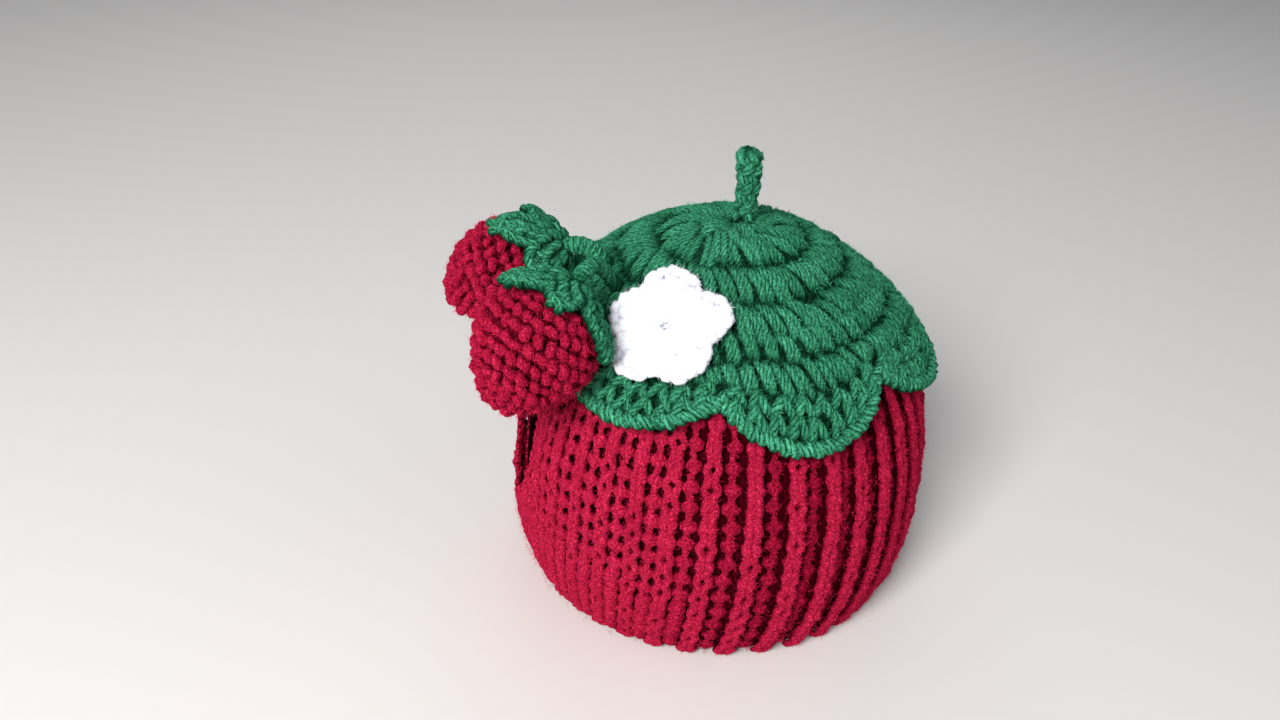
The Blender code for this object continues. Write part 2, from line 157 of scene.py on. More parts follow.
def pole_fans(rings: int, columns: int) -> Array:
    """Joins the first ring to one pole and the last ring to another.

    Args:
        rings: how many rings.
        columns: how many points a ring has.

    Returns:
        (2 columns, 3) point numbers. The poles are the two points after all the rings.
    """
    k = np.arange(columns)
    after = (k + 1) % columns
    pole, last = 0 * k + rings * columns, (rings - 1) * columns
    return np.concatenate(
        [np.stack([pole, k, after], -1), np.stack([pole + 1, last + after, last + k], -1)]
    )


@dataclass
class Faces:
    """Quads and triangles with a flat map point for each of their corners."""

    quads: Array
    quad_map: Array
    triangles: Array
    triangle_map: Array

    def facing_out(self, points: Array) -> "Faces":
        """Turns the faces round where the volume that they close is below zero.

        Args:
            points: (n, 3) places.

        Returns:
            The faces, all outwards.
        """
        q = self.quads
        corners = points[np.concatenate([q[:, [0, 1, 2]], q[:, [0, 2, 3]], self.triangles])]
        volumes = np.einsum("ij,ij->i", corners[:, 0], np.cross(corners[:, 1], corners[:, 2]))
        if volumes.sum() >= 0:
            return self
        arrays = (q, self.quad_map, self.triangles, self.triangle_map)
        return Faces(*(array[:, ::-1] for array in arrays))


def make_object(
    name: str, points: Array, faces: Faces, material: Material, fields: dict[str, Array]
) -> Object:
    """Puts whole arrays into a smooth mesh object that rides on the cosy's body.

    Args:
        name: the piece's name.
        points: (n, 3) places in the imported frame.
        faces: quads and triangles, all outwards or all inwards.
        material: the finish.
        fields: one number a point, for each named attribute that the finish reads.

    Returns:
        The finished object at the origin, with its faces outwards.
    """
    faces = faces.facing_out(points)
    mesh = bpy.data.meshes.new(name)
    corners = np.concatenate([faces.quads.ravel(), faces.triangles.ravel()])
    quad_count, triangle_count = len(faces.quads), len(faces.triangles)
    starts = np.concatenate(
        [4 * np.arange(quad_count), 4 * quad_count + 3 * np.arange(triangle_count)]
    )
    mesh.vertices.add(len(points))
    mesh.vertices.foreach_set("co", points.astype(np.float32).ravel())
    mesh.loops.add(len(corners))
    mesh.loops.foreach_set("vertex_index", corners.astype(np.int32))
    mesh.polygons.add(quad_count + triangle_count)
    mesh.polygons.foreach_set("loop_start", starts.astype(np.int32))
    mesh.update(calc_edges=True)
    flat = np.concatenate([faces.quad_map.reshape(-1, 2), faces.triangle_map.reshape(-1, 2)])
    mesh.uv_layers.new(name=MAP).data.foreach_set("uv", flat.astype(np.float32).ravel())
    for field_name, values in fields.items():
        attribute = mesh.attributes.new(field_name, "FLOAT", "POINT")
        attribute.data.foreach_set("value", values.astype(np.float32).ravel())
    mesh.shade_smooth()
    mesh.materials.append(material)
    piece = bpy.data.objects.new(name, mesh)
    bpy.context.scene.collection.objects.link(piece)
    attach(piece, BODY)
    return piece


@dataclass
class Strands:
    """Lengths of yarn with the same number of stations, as whole arrays.

    line is (strands, stations, 3), outward is the direction away from the cloth there, radius is
    (strands, stations), and tint is one number for each strand, from 0 up to BRIGHTEST.
    """

    line: Array
    outward: Array
    radius: Array
    tint: Array

    @staticmethod
    def join(parts: "list[Strands]") -> "Strands":
        """Returns the strands of all the parts as one set."""
        rows = [(part.line, part.outward, part.radius, part.tint) for part in parts]
        return Strands(*(np.concatenate(arrays) for arrays in zip(*rows)))

    def pick(self, kept: Array) -> "Strands":
        """Returns the strands that the mask or the numbers name."""
        return Strands(self.line[kept], self.outward[kept], self.radius[kept], self.tint[kept])

    def middle(self) -> Array:
        """Returns each strand's middle station."""
        return self.line[:, self.line.shape[1] // 2]

    def above_floor(self) -> "Strands":
        """Lifts what dips under the floor.

        Returns:
            The strands, standing on the floor at their lowest.
        """
        line = self.line.copy()
        line[..., 2] = np.maximum(line[..., 2], (1 + LUMPS) * self.radius)
        return Strands(line, self.outward, self.radius, self.tint)

    def tube_points(self, turn: Array, flat: float) -> Array:
        """Works out the tubes' points, a ring about each station and a pole at each end.

        A ring is centre + lump radius (cos a side + flat sin a up), each lump near 1 by chance.

        Args:
            turn: the angle of each point on a ring.
            flat: the ring's height as a share of its width.

        Returns:
            (strands, points, 3) places, the rings first and then the poles.
        """
        count, stations = self.radius.shape
        along = unit(np.gradient(self.line, axis=1))
        side = unit(np.cross(along, self.outward))
        up = np.cross(side, along)
        ring = (
            np.cos(turn)[:, None] * side[:, :, None]
            + flat * np.sin(turn)[:, None] * up[:, :, None]
        )
        lumps = 1 + LUMPS * np.random.default_rng(7).normal(0, 1, (count, stations, len(turn)))
        rings = self.line[:, :, None] + (self.radius[:, :, None] * lumps)[..., None] * ring
        push = 0.55 * self.radius[:, [0, -1]][..., None] * along[:, [0, -1]]
        poles = self.line[:, [0, -1]] + push * np.array([-1.0, 1.0])[None, :, None]
        return np.concatenate([rings.reshape(count, -1, 3), poles], axis=1)

    def tube_faces(self, sides: int) -> Faces:
        """Joins the tubes' points into faces.

        The map runs in centimetres of yarn along a tube and once around it.

        Args:
            sides: points on each ring.

        Returns:
            The quads and triangles.
        """
        count, stations = self.radius.shape
        first = (np.arange(count) * (stations * sides + 2))[:, None, None]
        corners, ring, column = grid_quads(stations, sides)
        step = np.linalg.norm(np.diff(self.line, axis=1), axis=-1)
        length = 100 * np.concatenate([np.zeros((count, 1)), np.cumsum(step, axis=1)], axis=1)
        low = np.broadcast_to(column / sides, (count, len(column)))
        quad_map = quad_corners(length[:, ring], length[:, ring + 1], low, low + 1 / sides)
        k = np.arange(sides)
        turns = np.stack([k + 0.5, k, k + 1.0], -1) / sides
        turns = np.concatenate([turns, turns[:, [0, 2, 1]]])
        at = np.repeat(length[:, [0, -1]], sides, axis=1)
        triangle_map = np.stack(np.broadcast_arrays(at[..., None], turns), axis=-1)
        return Faces(
            (first + corners).reshape(-1, 4), quad_map.reshape(-1, 4, 2),
            (first + pole_fans(stations, sides)).reshape(-1, 3), triangle_map.reshape(-1, 3, 2),
        )

    def to_object(
        self, name: str, material: Material, sides: int = 6, flat: float = 1.0,
        painted_depth_shade: Array | float = 1.0, painted_end_shade: bool = True,
    ) -> Object:
        """Makes closed tubes, each painted lighter on top and darker below by 0.3 + 0.7 (1 + sin a) /
        2, and painted darker towards the ends where they dive.

        Args:
            name: the piece's name.
            material: the yarn finish.
            sides: points on each ring.
            flat: the ring's height as a share of its width.
            painted_depth_shade: painted shade, how bright the strands are painted, less than 1 where
                they lie deep.
            painted_end_shade: whether the ends are painted dark, as shade where they dive into the
                cloth.

        Returns:
            The object of all the tubes.
        """
        count, stations = self.radius.shape
        turn = spaced(sides) - 0.5 * math.pi
        points = self.tube_points(turn, flat)
        # Painted light: each ring is painted lighter on its top and darker on its underside, the ends
        # fade to painted shade where they dive, and the poles are painted at 0.2 of full light.
        way = np.linspace(0, 1, stations)
        painted_end_fade = np.clip(np.minimum(way, 1 - way) / 0.2, 0, 1)
        least = 0.35 if painted_end_shade else 1.0
        painted_top_light = 0.3 + 0.7 * (0.5 + 0.5 * np.sin(turn))
        painted_light = painted_top_light[None] * (least + (1 - least) * painted_end_fade)[:, None]
        painted_light = np.concatenate([painted_light.ravel(), [0.2, 0.2]])
        fields = {
            "tint": np.repeat(self.tint, points.shape[1]),
            # Painted shade: every strand's painted light is dimmed by its painted depth shade.
            "painted_light": (np.broadcast_to(painted_depth_shade, count)[:, None] * painted_light).ravel(),
        }
        return make_object(name, points.reshape(-1, 3), self.tube_faces(sides), material, fields)


def fuzz_object(
    name: str, strands: Strands, count: int, material: Material, seed: int
) -> Object:
    """Makes the loose fibres on the yarn's outer side, thin three-sided spikes.

    Each grows from centre + radius (cos a side + sin a up) of a strand and leans by chance.

    Args:
        name: the piece's name.
        strands: the yarn.
        count: how many fibres.
        material: the finish.
        seed: the seed of the chances.

    Returns:
        The object of all the fibres.
    """
    rng = np.random.default_rng(seed)
    strand = rng.integers(0, len(strands.line), count)
    station = rng.integers(1, strands.line.shape[1] - 1, count)
    along = unit(np.gradient(strands.line, axis=1))[strand, station]
    shift = rng.uniform(-0.5, 0.5, (count, 1))
    step = strands.line[strand, station + 1] - strands.line[strand, station]
    centre = strands.line[strand, station] + shift * step
    side = unit(np.cross(along, strands.outward[strand, station]))
    up = np.cross(side, along)
    angle = rng.uniform(0.05 * math.pi, 0.95 * math.pi, (count, 1))
    spoke = np.cos(angle) * side + np.sin(angle) * up
    base = centre + 0.93 * strands.radius[strand, station][:, None] * spoke
    lean = rng.normal(0, 1.0, (count, 1)) * along + rng.normal(0, 0.45, (count, 3))
    aim = unit(0.75 * spoke + lean)
    tip = base + rng.uniform(*FIBRE_LENGTHS, (count, 1)) * aim
    one = unit(np.cross(aim, along + 0.3 * up))
    two = np.cross(aim, one)
    turn = spaced(3)[:, None]
    foot = FIBRE_RADIUS * (np.cos(turn) * one[:, None] + np.sin(turn) * two[:, None])
    points = np.concatenate([base[:, None] + foot, tip[:, None]], axis=1).reshape(-1, 3)
    points[:, 2] = np.maximum(points[:, 2], 0.0)
    corner = np.array([[0, 1, 3], [1, 2, 3], [2, 0, 3], [2, 1, 0]])
    spikes = (4 * np.arange(count)[:, None, None] + corner[None]).reshape(-1, 3)
    faces = Faces(np.zeros((0, 4), int), np.zeros((0, 4, 2)), spikes, np.zeros((len(spikes), 3, 2)))
    fields = {"tint": np.repeat(strands.tint[strand], 4)}
    return make_object(name, points, faces, material, fields)


def skin_object(
    name: str, rings: Array, first: Array, last: Array, material: Material,
    pitch: Two,
) -> Object:
    """Makes a closed skin through rings of points, from a pole over all the rings to a pole.

    Args:
        name: the piece's name.
        rings: (rings, columns, 3) places, each ring closed on itself.
        first: the pole before the first ring.
        last: the pole after the last ring.
        material: the finish.
        pitch: centimetres that the map spans around and along.

    Returns:
        The object.
    """
    rows, columns = rings.shape[:2]
    points = np.concatenate([rings.reshape(-1, 3), [first, last]])
    quads, r, c = grid_quads(rows, columns)
    around, along = pitch[0] / columns, pitch[1] / rows
    quad_map = quad_corners(r * along, (r + 1) * along, c * around, (c + 1) * around)[..., ::-1]
    k = np.arange(columns)
    level = np.stack([(k + 0.5) * around, 0.0 * k], -1)
    triangle_map = np.stack([level, level, level], 1)
    triangle_map = np.concatenate([triangle_map, triangle_map + [0.0, pitch[1]]])
    # Painted shade: the whole skin is painted at 0.3 of full light, as cloth lying in the shade
    # behind the strands; the tint is an even tone.
    fields = {"tint": np.full(len(points), 0.4), "painted_light": np.full(len(points), 0.3)}
    faces = Faces(quads, quad_map, pole_fans(rows, columns), triangle_map)
    return make_object(name, points, faces, material, fields)


# --- Finishes ---


class NodeSheet:
    """A short way to lay and join shader nodes."""

    def __init__(self, tree: NodeTree) -> None:
        """Takes the node tree to work in."""
        self.tree = tree

    def add(self, kind: str, **settings: object) -> bpy.types.Node:
        """Adds a node, sets its options and then fills its inputs.

        Args:
            kind: the node's type.
            settings: values by the option's or the input's name, or by i0, i1 for its number.

        Returns:
            The node.
        """
        node = self.tree.nodes.new(kind)
        for key, value in settings.items():
            if hasattr(node, key):
                setattr(node, key, value)
            else:
                self.feed(node, key, value)
        return node

    def feed(self, node: bpy.types.Node, key: str, value: object) -> None:
        """Puts a value on an input, or joins a socket to it.

        Args:
            node: the node.
            key: the input's name, or i0, i1 for its number.
            value: a number, a colour or a socket.
        """
        number = key[1:]
        socket = node.inputs[int(number)] if key[0] == "i" and number.isdigit() else node.inputs[key]
        if isinstance(value, Socket):
            self.tree.links.new(value, socket)
        else:
            socket.default_value = value

    def math(self, operation: str, *values: object) -> Socket:
        """Returns the result of a Math node on the values."""
        inputs = {f"i{number}": value for number, value in enumerate(values)}
        return self.add("ShaderNodeMath", operation=operation, **inputs).outputs[0]

    def mix(self, share: object, one: object, two: object) -> Socket:
        """Returns the colour that lies this share of the way from one to the other."""
        return self.add("ShaderNodeMix", data_type="RGBA", i0=share, i6=one, i7=two).outputs[2]

    def ramp(self, value: object, low: float, high: float) -> Socket:
        """Returns the value spread from low..high to 0..1, eased at both ends."""
        options = {"interpolation_type": "SMOOTHSTEP", "i0": value, "i1": low, "i2": high}
        return self.add("ShaderNodeMapRange", **options).outputs[0]

    def attribute(self, name: str) -> Socket:
        """Returns a named number of the mesh."""
        return self.add("ShaderNodeAttribute", attribute_name=name).outputs["Fac"]

    def yarn_map(self) -> bpy.types.bpy_prop_collection:
        """Returns the parts of the piece's own map."""
        where = self.add("ShaderNodeUVMap", uv_map=MAP)
        return self.add("ShaderNodeSeparateXYZ", i0=where.outputs[0]).outputs

    def noise(self, **inputs: float) -> Socket:
        """Returns a noise over the piece's own place."""
        where = self.add("ShaderNodeTexCoord")
        return self.add("ShaderNodeTexNoise", Vector=where.outputs["Object"], **inputs).outputs[0]


def new_group(name: str, inputs: dict[str, float], outputs: list[str]) -> NodeTree:
    """Starts a shader node group with number inputs and outputs.

    Args:
        name: the group's name.
        inputs: the inputs' names and usual values.
        outputs: the outputs' names.

    Returns:
        The group.
    """
    group = bpy.data.node_groups.new(name, "ShaderNodeTree")
    for key, value in inputs.items():
        socket = group.interface.new_socket(key, in_out="INPUT", socket_type="NodeSocketFloat")
        socket.default_value = value
    for key in outputs:
        group.interface.new_socket(key, in_out="OUTPUT", socket_type="NodeSocketFloat")
    return group


class YarnGroups:
    """The node groups that all the yarns share, each built once."""

    @cached_property
    def plied(self) -> NodeTree:
        """Plied yarn: |sin| ridges that wind round the strand, with fine fibres along them.

        Returns:
            The group, with the yarn's Height.
        """
        given_numbers = {"Plies": 4.0, "Turns": 0.5, "Tint": 0.5, "Fluff": 0.5}
        group = new_group("Plied yarn", given_numbers, ["Height"])
        sheet = NodeSheet(group)
        given = sheet.add("NodeGroupInput")
        length, around, _ = sheet.yarn_map()
        wound = sheet.math("MULTIPLY_ADD", length, given.outputs["Turns"], around)
        phase = sheet.math("MULTIPLY", wound, given.outputs["Plies"])
        wave = sheet.math("ABSOLUTE", sheet.math("SINE", sheet.math("MULTIPLY", phase, math.pi)))
        ridge = sheet.math("POWER", wave, 0.7)
        place = sheet.add(
            "ShaderNodeCombineXYZ",
            X=sheet.math("MULTIPLY", length, 2.2),
            Y=sheet.math("MULTIPLY", wound, 22.0),
            Z=sheet.math("MULTIPLY", given.outputs["Tint"], 57.0),
        )
        drawn = sheet.add("ShaderNodeTexNoise", Vector=place.outputs[0], Scale=1.0, Detail=3.0)
        fibre = sheet.ramp(drawn.outputs[0], 0.3, 0.7)
        fluff = sheet.ramp(sheet.noise(Scale=1150.0, Detail=4.0, Roughness=0.70), 0.34, 0.66)
        wound_part = sheet.math("MULTIPLY_ADD", ridge, 0.60, sheet.math("MULTIPLY", fibre, 0.40))
        apart = sheet.math("SUBTRACT", fluff, wound_part)
        height = sheet.math("MULTIPLY_ADD", apart, given.outputs["Fluff"], wound_part)
        out = sheet.add("NodeGroupOutput")
        sheet.feed(out, "Height", height)
        return group

    @cached_property
    def looped(self) -> NodeTree:
        """Knitted cloth seen small: chevrons |sin(pi (row + 1.1 |column - 0.5|))| across the map.

        Returns:
            The group, with the cloth's Height.
        """
        group = new_group("Looped cloth", {"Width": 0.35, "Row": 0.4}, ["Height"])
        sheet = NodeSheet(group)
        given = sheet.add("NodeGroupInput")
        around, along, _ = sheet.yarn_map()
        column = sheet.math("DIVIDE", around, given.outputs["Width"])
        off = sheet.math("ABSOLUTE", sheet.math("SUBTRACT", sheet.math("FRACT", column), 0.5))
        row = sheet.math("DIVIDE", along, given.outputs["Row"])
        slope = sheet.math("MULTIPLY_ADD", off, 1.1, row)
        wave = sheet.math("ABSOLUTE", sheet.math("SINE", sheet.math("MULTIPLY", slope, math.pi)))
        crown = sheet.math("SINE", sheet.math("MULTIPLY", off, FULL))
        height = sheet.math("MULTIPLY", wave, sheet.math("POWER", sheet.math("ABSOLUTE", crown), 0.5))
        out = sheet.add("NodeGroupOutput")
        sheet.feed(out, "Height", height)
        return group


GROUPS = YarnGroups()


@dataclass(frozen=True)
class YarnFinish:
    """One colour of fluffy plied yarn, for strands and for the cloth behind them."""

    name: str
    # deep is the yarn's colour in painted shade, middle its plain colour, and bright its painted lit
    # top, which also tints the sheen and the lighter fibres.
    deep: Three
    middle: Three
    bright: Three
    roughness: float = 0.85
    sheen: float = 0.35
    plies: float = 8.0
    turns: float = 0.45
    relief: float = 0.0007
    fluff: float = 0.5
    contrast: float = 0.7

    def _start(self, suffix: str) -> tuple[Material, NodeSheet, bpy.types.Node]:
        """Starts a material.

        Args:
            suffix: what is added to the yarn's name.

        Returns:
            The material, its node sheet and its Principled shader.
        """
        material = bpy.data.materials.new(f"{self.name}_{suffix}")
        material.use_nodes = True
        shader = material.node_tree.nodes["Principled BSDF"]
        settings = {
            "Roughness": self.roughness,
            "Specular IOR Level": 0.0,
            "Sheen Weight": self.sheen,
            "Sheen Roughness": 0.5,
            "Sheen Tint": (*self.bright, 1.0),
        }
        for key, value in settings.items():
            shader.inputs[key].default_value = value
        return material, NodeSheet(material.node_tree), shader

    def _relief(self, sheet: NodeSheet, shader: bpy.types.Node, height: object, depth: float) -> None:
        """Feeds the height to a Bump node on the shader's Normal."""
        bump = sheet.add("ShaderNodeBump", Strength=1.0, Distance=depth, Height=height)
        sheet.feed(shader, "Normal", bump.outputs[0])

    @cached_property
    def strand(self) -> Material:
        """The finish of the strands: painted shade between the plies and where a strand dives away, a
        painted lit top, and a mottled fluff tone.

        Returns:
            The material.
        """
        material, sheet, shader = self._start("strand")
        tint = sheet.attribute("tint")
        height = sheet.add(
            "ShaderNodeGroup", node_tree=GROUPS.plied, Plies=self.plies, Turns=self.turns, Tint=tint,
            Fluff=self.fluff,
        ).outputs[0]
        # Painted light and shade: the ply relief and the painted_light attribute pick the colour,
        # from deep (painted shade) through middle up to bright (painted lit top).
        raised = sheet.math("MULTIPLY_ADD", height, self.contrast, 1.0 - self.contrast)
        lit = sheet.math("MULTIPLY", raised, sheet.attribute("painted_light"))
        lower = sheet.mix(sheet.ramp(lit, 0.05, 0.45), (*self.deep, 1.0), (*self.middle, 1.0))
        upper = sheet.ramp(lit, 0.30, 0.95)
        varied = sheet.math("MULTIPLY", upper, sheet.math("MULTIPLY_ADD", tint, 0.5, 0.6))
        sheet.feed(shader, "Base Color", sheet.mix(varied, lower, (*self.bright, 1.0)))
        self._relief(sheet, shader, height, self.relief)
        return material

    @cached_property
    def cloth(self) -> Material:
        """The finish of the cloth behind the strands: small knitted loops, painted darker than they
        are as shade.

        Returns:
            The material.
        """
        material, sheet, shader = self._start("cloth")
        looped = sheet.add("ShaderNodeGroup", node_tree=GROUPS.looped).outputs[0]
        fluff = sheet.noise(Scale=900.0, Detail=3.0)
        height = sheet.math("MULTIPLY_ADD", fluff, 0.3, looped)
        # Painted shade: the loops' relief and the painted_light attribute mix deep (painted shade)
        # with middle.
        lit = sheet.math("MULTIPLY", sheet.ramp(height, 0.1, 1.1), sheet.attribute("painted_light"))
        sheet.feed(shader, "Base Color", sheet.mix(lit, (*self.deep, 1.0), (*self.middle, 1.0)))
        self._relief(sheet, shader, height, 2 * self.relief)
        return material

    @cached_property
    def fuzz(self) -> Material:
        """The finish of the loose fibres: the yarn's middle colour, brighter on some strands.

        Returns:
            The material.
        """
        material, sheet, shader = self._start("fuzz")
        patch = sheet.noise(Scale=400.0, Detail=2.0)
        share = sheet.math("MULTIPLY_ADD", sheet.attribute("tint"), 0.4, patch)
        colour = sheet.mix(sheet.ramp(share, 0.3, 1.0), (*self.middle, 1.0), (*self.bright, 1.0))
        sheet.feed(shader, "Base Color", colour)
        return material


RED = YarnFinish(
    "red_yarn", (0.046, 0.0002, 0.003), (0.48, 0.008, 0.046), (0.86, 0.038, 0.120),
    roughness=1.0, sheen=0.12, fluff=0.80, contrast=0.85,
)
GREEN = YarnFinish(
    "green_yarn", (0.0008, 0.010, 0.004), (0.009, 0.112, 0.049), (0.115, 0.600, 0.335),
    roughness=1.0, sheen=0.12, plies=5.0, turns=0.75, relief=0.0010, fluff=0.38, contrast=0.98,
)
WHITE = YarnFinish(
    "white_yarn", (0.66, 0.68, 0.82), (0.84, 0.85, 0.93), (0.93, 0.94, 0.99),
    roughness=1.0, sheen=0.05, relief=0.0004, fluff=0.4, contrast=0.6,
)


# --- Stitches and the walls they lie on ---


@dataclass(frozen=True)
class Leg:
    """One strand of a stitch in flat measures: across and along the cloth, and off it.

    It runs straight from its foot to its head, bowed sideways by a half sine. It rises by a half
    sine and dives by the cube of the way at each end, and its radius narrows towards both ends.
    """

    foot: Two = (0.0, 0.0)
    head: Two = (0.0, 0.0)
    bow: float = 0.0
    rise: float = 0.0008
    foot_dive: float = 0.0012
    head_dive: float = 0.0012
    radius: float = 0.0014
    narrowing: float = 0.35
    stations: int = 7

    def flat_line(self) -> tuple[Array, Array, Array, Array]:
        """Draws the leg on flat cloth.

        Returns:
            Across, along, lift and radius at its stations.
        """
        way = np.linspace(0, 1, self.stations)
        swell = np.sin(math.pi * way)
        across = self.foot[0] + (self.head[0] - self.foot[0]) * way + self.bow * swell
        along = self.foot[1] + (self.head[1] - self.foot[1]) * way
        lift = self.rise * swell - self.foot_dive * (1 - way) ** 3 - self.head_dive * way**3
        radius = self.radius * (1 - self.narrowing * np.abs(2 * way - 1) ** 3)
        return across, along, lift, radius


@dataclass(frozen=True)
class Run(Leg):
    """One row's length of a cord that swells at its row and is pinched between rows.

    With c = tanh(1.8 cos(full turn * along / period)) and d a narrow bell at the row's middle,
    it stands aside by aside + sway c + part d, and its radius is radius (1 + swell c + scallop
    cos(2 full turns * along / period)) - pinch d.
    """

    period: float = 0.0080
    aside: float = 0.0
    sway: float = 0.0
    part: float = 0.0
    swell: float = 0.0
    scallop: float = 0.05
    pinch: float = 0.0
    bell: float = 0.0012

    def flat_line(self) -> tuple[Array, Array, Array, Array]:
        """Draws the run on flat cloth, with its row in the middle.

        Returns:
            Across, along, lift and radius at its stations.
        """
        along = np.linspace(-0.62, 0.62, self.stations) * self.period
        wave = np.tanh(1.8 * np.cos(FULL * along / self.period))
        half = np.cos(2 * FULL * along / self.period)
        bell = np.exp(-((along / self.bell) ** 2))
        across = self.aside + self.sway * wave + self.part * bell
        radius = self.radius * (1 + self.swell * wave + self.scallop * half) - self.pinch * bell
        return across, along, self.rise * wave, radius


@dataclass
class Stitches:
    """Where equal stitches sit, with one centre, lift, size, tint and turn for each stitch."""

    around: Array
    along: Array
    lift: Array
    scale: Array
    tint: Array
    turn: Array

    def brightened(self, by: Array | float) -> None:
        """Makes the stitches' yarn lighter."""
        self.tint = np.clip(self.tint + by, 0, BRIGHTEST)


class Wall:
    """A surface that stitches lie on, by an angle around it and a distance along it.

    Seen from outside, the angle grows to the right where the distance grows downwards.
    """

    def place(self, around: Array, along: Array, lift: Array) -> Array:
        """Returns points on the wall, lifted off it."""
        raise NotImplementedError

    def strides(self, around: Array, along: Array) -> tuple[Array, Array]:
        """Finds how far the point moves for one radian around and for one metre along.

        Args:
            around: angles around the wall.
            along: distances along it.

        Returns:
            The two moves, to the right and down.
        """
        turn, step = 1e-3, 2e-5
        right = self.place(around + turn, along, 0.0) - self.place(around - turn, along, 0.0)
        down = self.place(around, along + step, 0.0) - self.place(around, along - step, 0.0)
        return right / (2 * turn), down / (2 * step)

    def outward(self, around: Array, along: Array) -> Array:
        """Returns unit normals, down x right."""
        right, down = self.strides(around, along)
        return unit(np.cross(down, right))

    def girth(self, around: Array, along: Array) -> Array:
        """Returns the distance that one radian spans, at least 2.5 mm near a pole."""
        return np.maximum(np.linalg.norm(self.strides(around, along)[0], axis=-1), 0.0025)

    def scattered(self, around: Array, along: Array, lift: Array | float, seed: int,
                  size: Array | float = 1.0) -> Stitches:
        """Sets stitches at these places, each a little off its place, size and colour.

        Args:
            around: their angles.
            along: their distances.
            lift: their lifts off the wall.
            seed: the seed of the small differences.
            size: their sizes.

        Returns:
            The stitches.
        """
        rng = np.random.default_rng(seed)
        around, along, lift, size = np.broadcast_arrays(around, along, lift, size)
        around, along, count = around.ravel(), along.ravel(), around.size
        return Stitches(
            around + rng.normal(0, 0.00022, count) / self.girth(around, along),
            along + rng.normal(0, 0.00028, count),
            lift.ravel() + rng.normal(0, 0.00018, count),
            size.ravel() * rng.normal(1.0, 0.06, count),
            tints(rng, count),
            rng.normal(0, 0.07, count),
        )

    def lay(self, stitches: Stitches, leg: Leg, mirror: Array | float = 1.0,
            turn: Array | float = 0.0) -> Strands:
        """Lays one leg of every stitch on the wall.

        The flat line is scaled, swayed by a small sine and turned about the stitch's centre, and
        carried to the wall: angle = centre + across / radius there, distance = centre + along.

        Args:
            stitches: the centres.
            leg: the leg.
            mirror: -1 swaps its sides, for all or for each in a column of numbers.
            turn: an angle for each stitch.

        Returns:
            The strands.
        """
        across, along, lift, radius = leg.flat_line()
        scale = stitches.scale[:, None]
        way = np.linspace(0, 1, leg.stations)[None]
        phase = 60 * stitches.tint[:, None] + mirror
        sway = WOBBLE * np.sin(7.0 * way + phase)
        flat_x, flat_y = mirror * across[None] * scale + sway, along[None] * scale
        angle = np.broadcast_to(turn + stitches.turn, stitches.around.shape)[:, None]
        moved_x = flat_x * np.cos(angle) - flat_y * np.sin(angle)
        moved_y = flat_x * np.sin(angle) + flat_y * np.cos(angle)
        arc = stitches.along[:, None] + moved_y
        middle = np.broadcast_to(stitches.around[:, None], arc.shape)
        bearing = middle + moved_x / self.girth(middle, arc)
        bob = 0.6 * WOBBLE * np.sin(8.0 * way + 2 * phase)
        height = stitches.lift[:, None] + lift[None] * scale + bob
        return Strands(
            self.place(bearing, arc, height),
            self.outward(bearing, arc),
            radius[None] * scale,
            stitches.tint,
        )


@dataclass
class Route:
    """A path on a wall, as angles around it and distances along it."""

    wall: Wall
    around: Array
    along: Array

    def rope(self, leg: Leg, pitch: float, lift: float, seed: int, lighter: float = 0.0,
             turned: float = 0.0) -> Strands:
        """Lays one leg over the next, evenly along the path.

        Args:
            leg: the leg, with the path as its across.
            pitch: the distance between legs.
            lift: their lift off the wall.
            seed: the seed of their small differences.
            lighter: how much is added to their tint.
            turned: an angle that is added to the path's.

        Returns:
            The strands.
        """
        rng = np.random.default_rng(seed)
        path = self.wall.place(self.around, self.along, 0.0)
        run = travelled(np.linalg.norm(np.diff(path, axis=0), axis=1))
        count = int(round(run[-1] / pitch))
        at = run[-1] * (np.arange(count) + 0.5) / count
        across_step = np.gradient(self.around, run) * self.wall.girth(self.around, self.along)
        along_step = np.gradient(self.along, run)
        angle = np.arctan2(np.interp(at, run, along_step), np.interp(at, run, across_step))
        stitches = Stitches(
            np.interp(at, run, self.around),
            np.interp(at, run, self.along),
            lift + rng.normal(0, 0.00015, count),
            rng.normal(1.0, 0.06, count),
            tints(rng, count),
            rng.normal(0, 0.06, count),
        )
        stitches.brightened(lighter)
        return self.wall.lay(stitches, leg, turn=angle + turned)


# --- The shape that the cover, the cap and the blossom follow ---


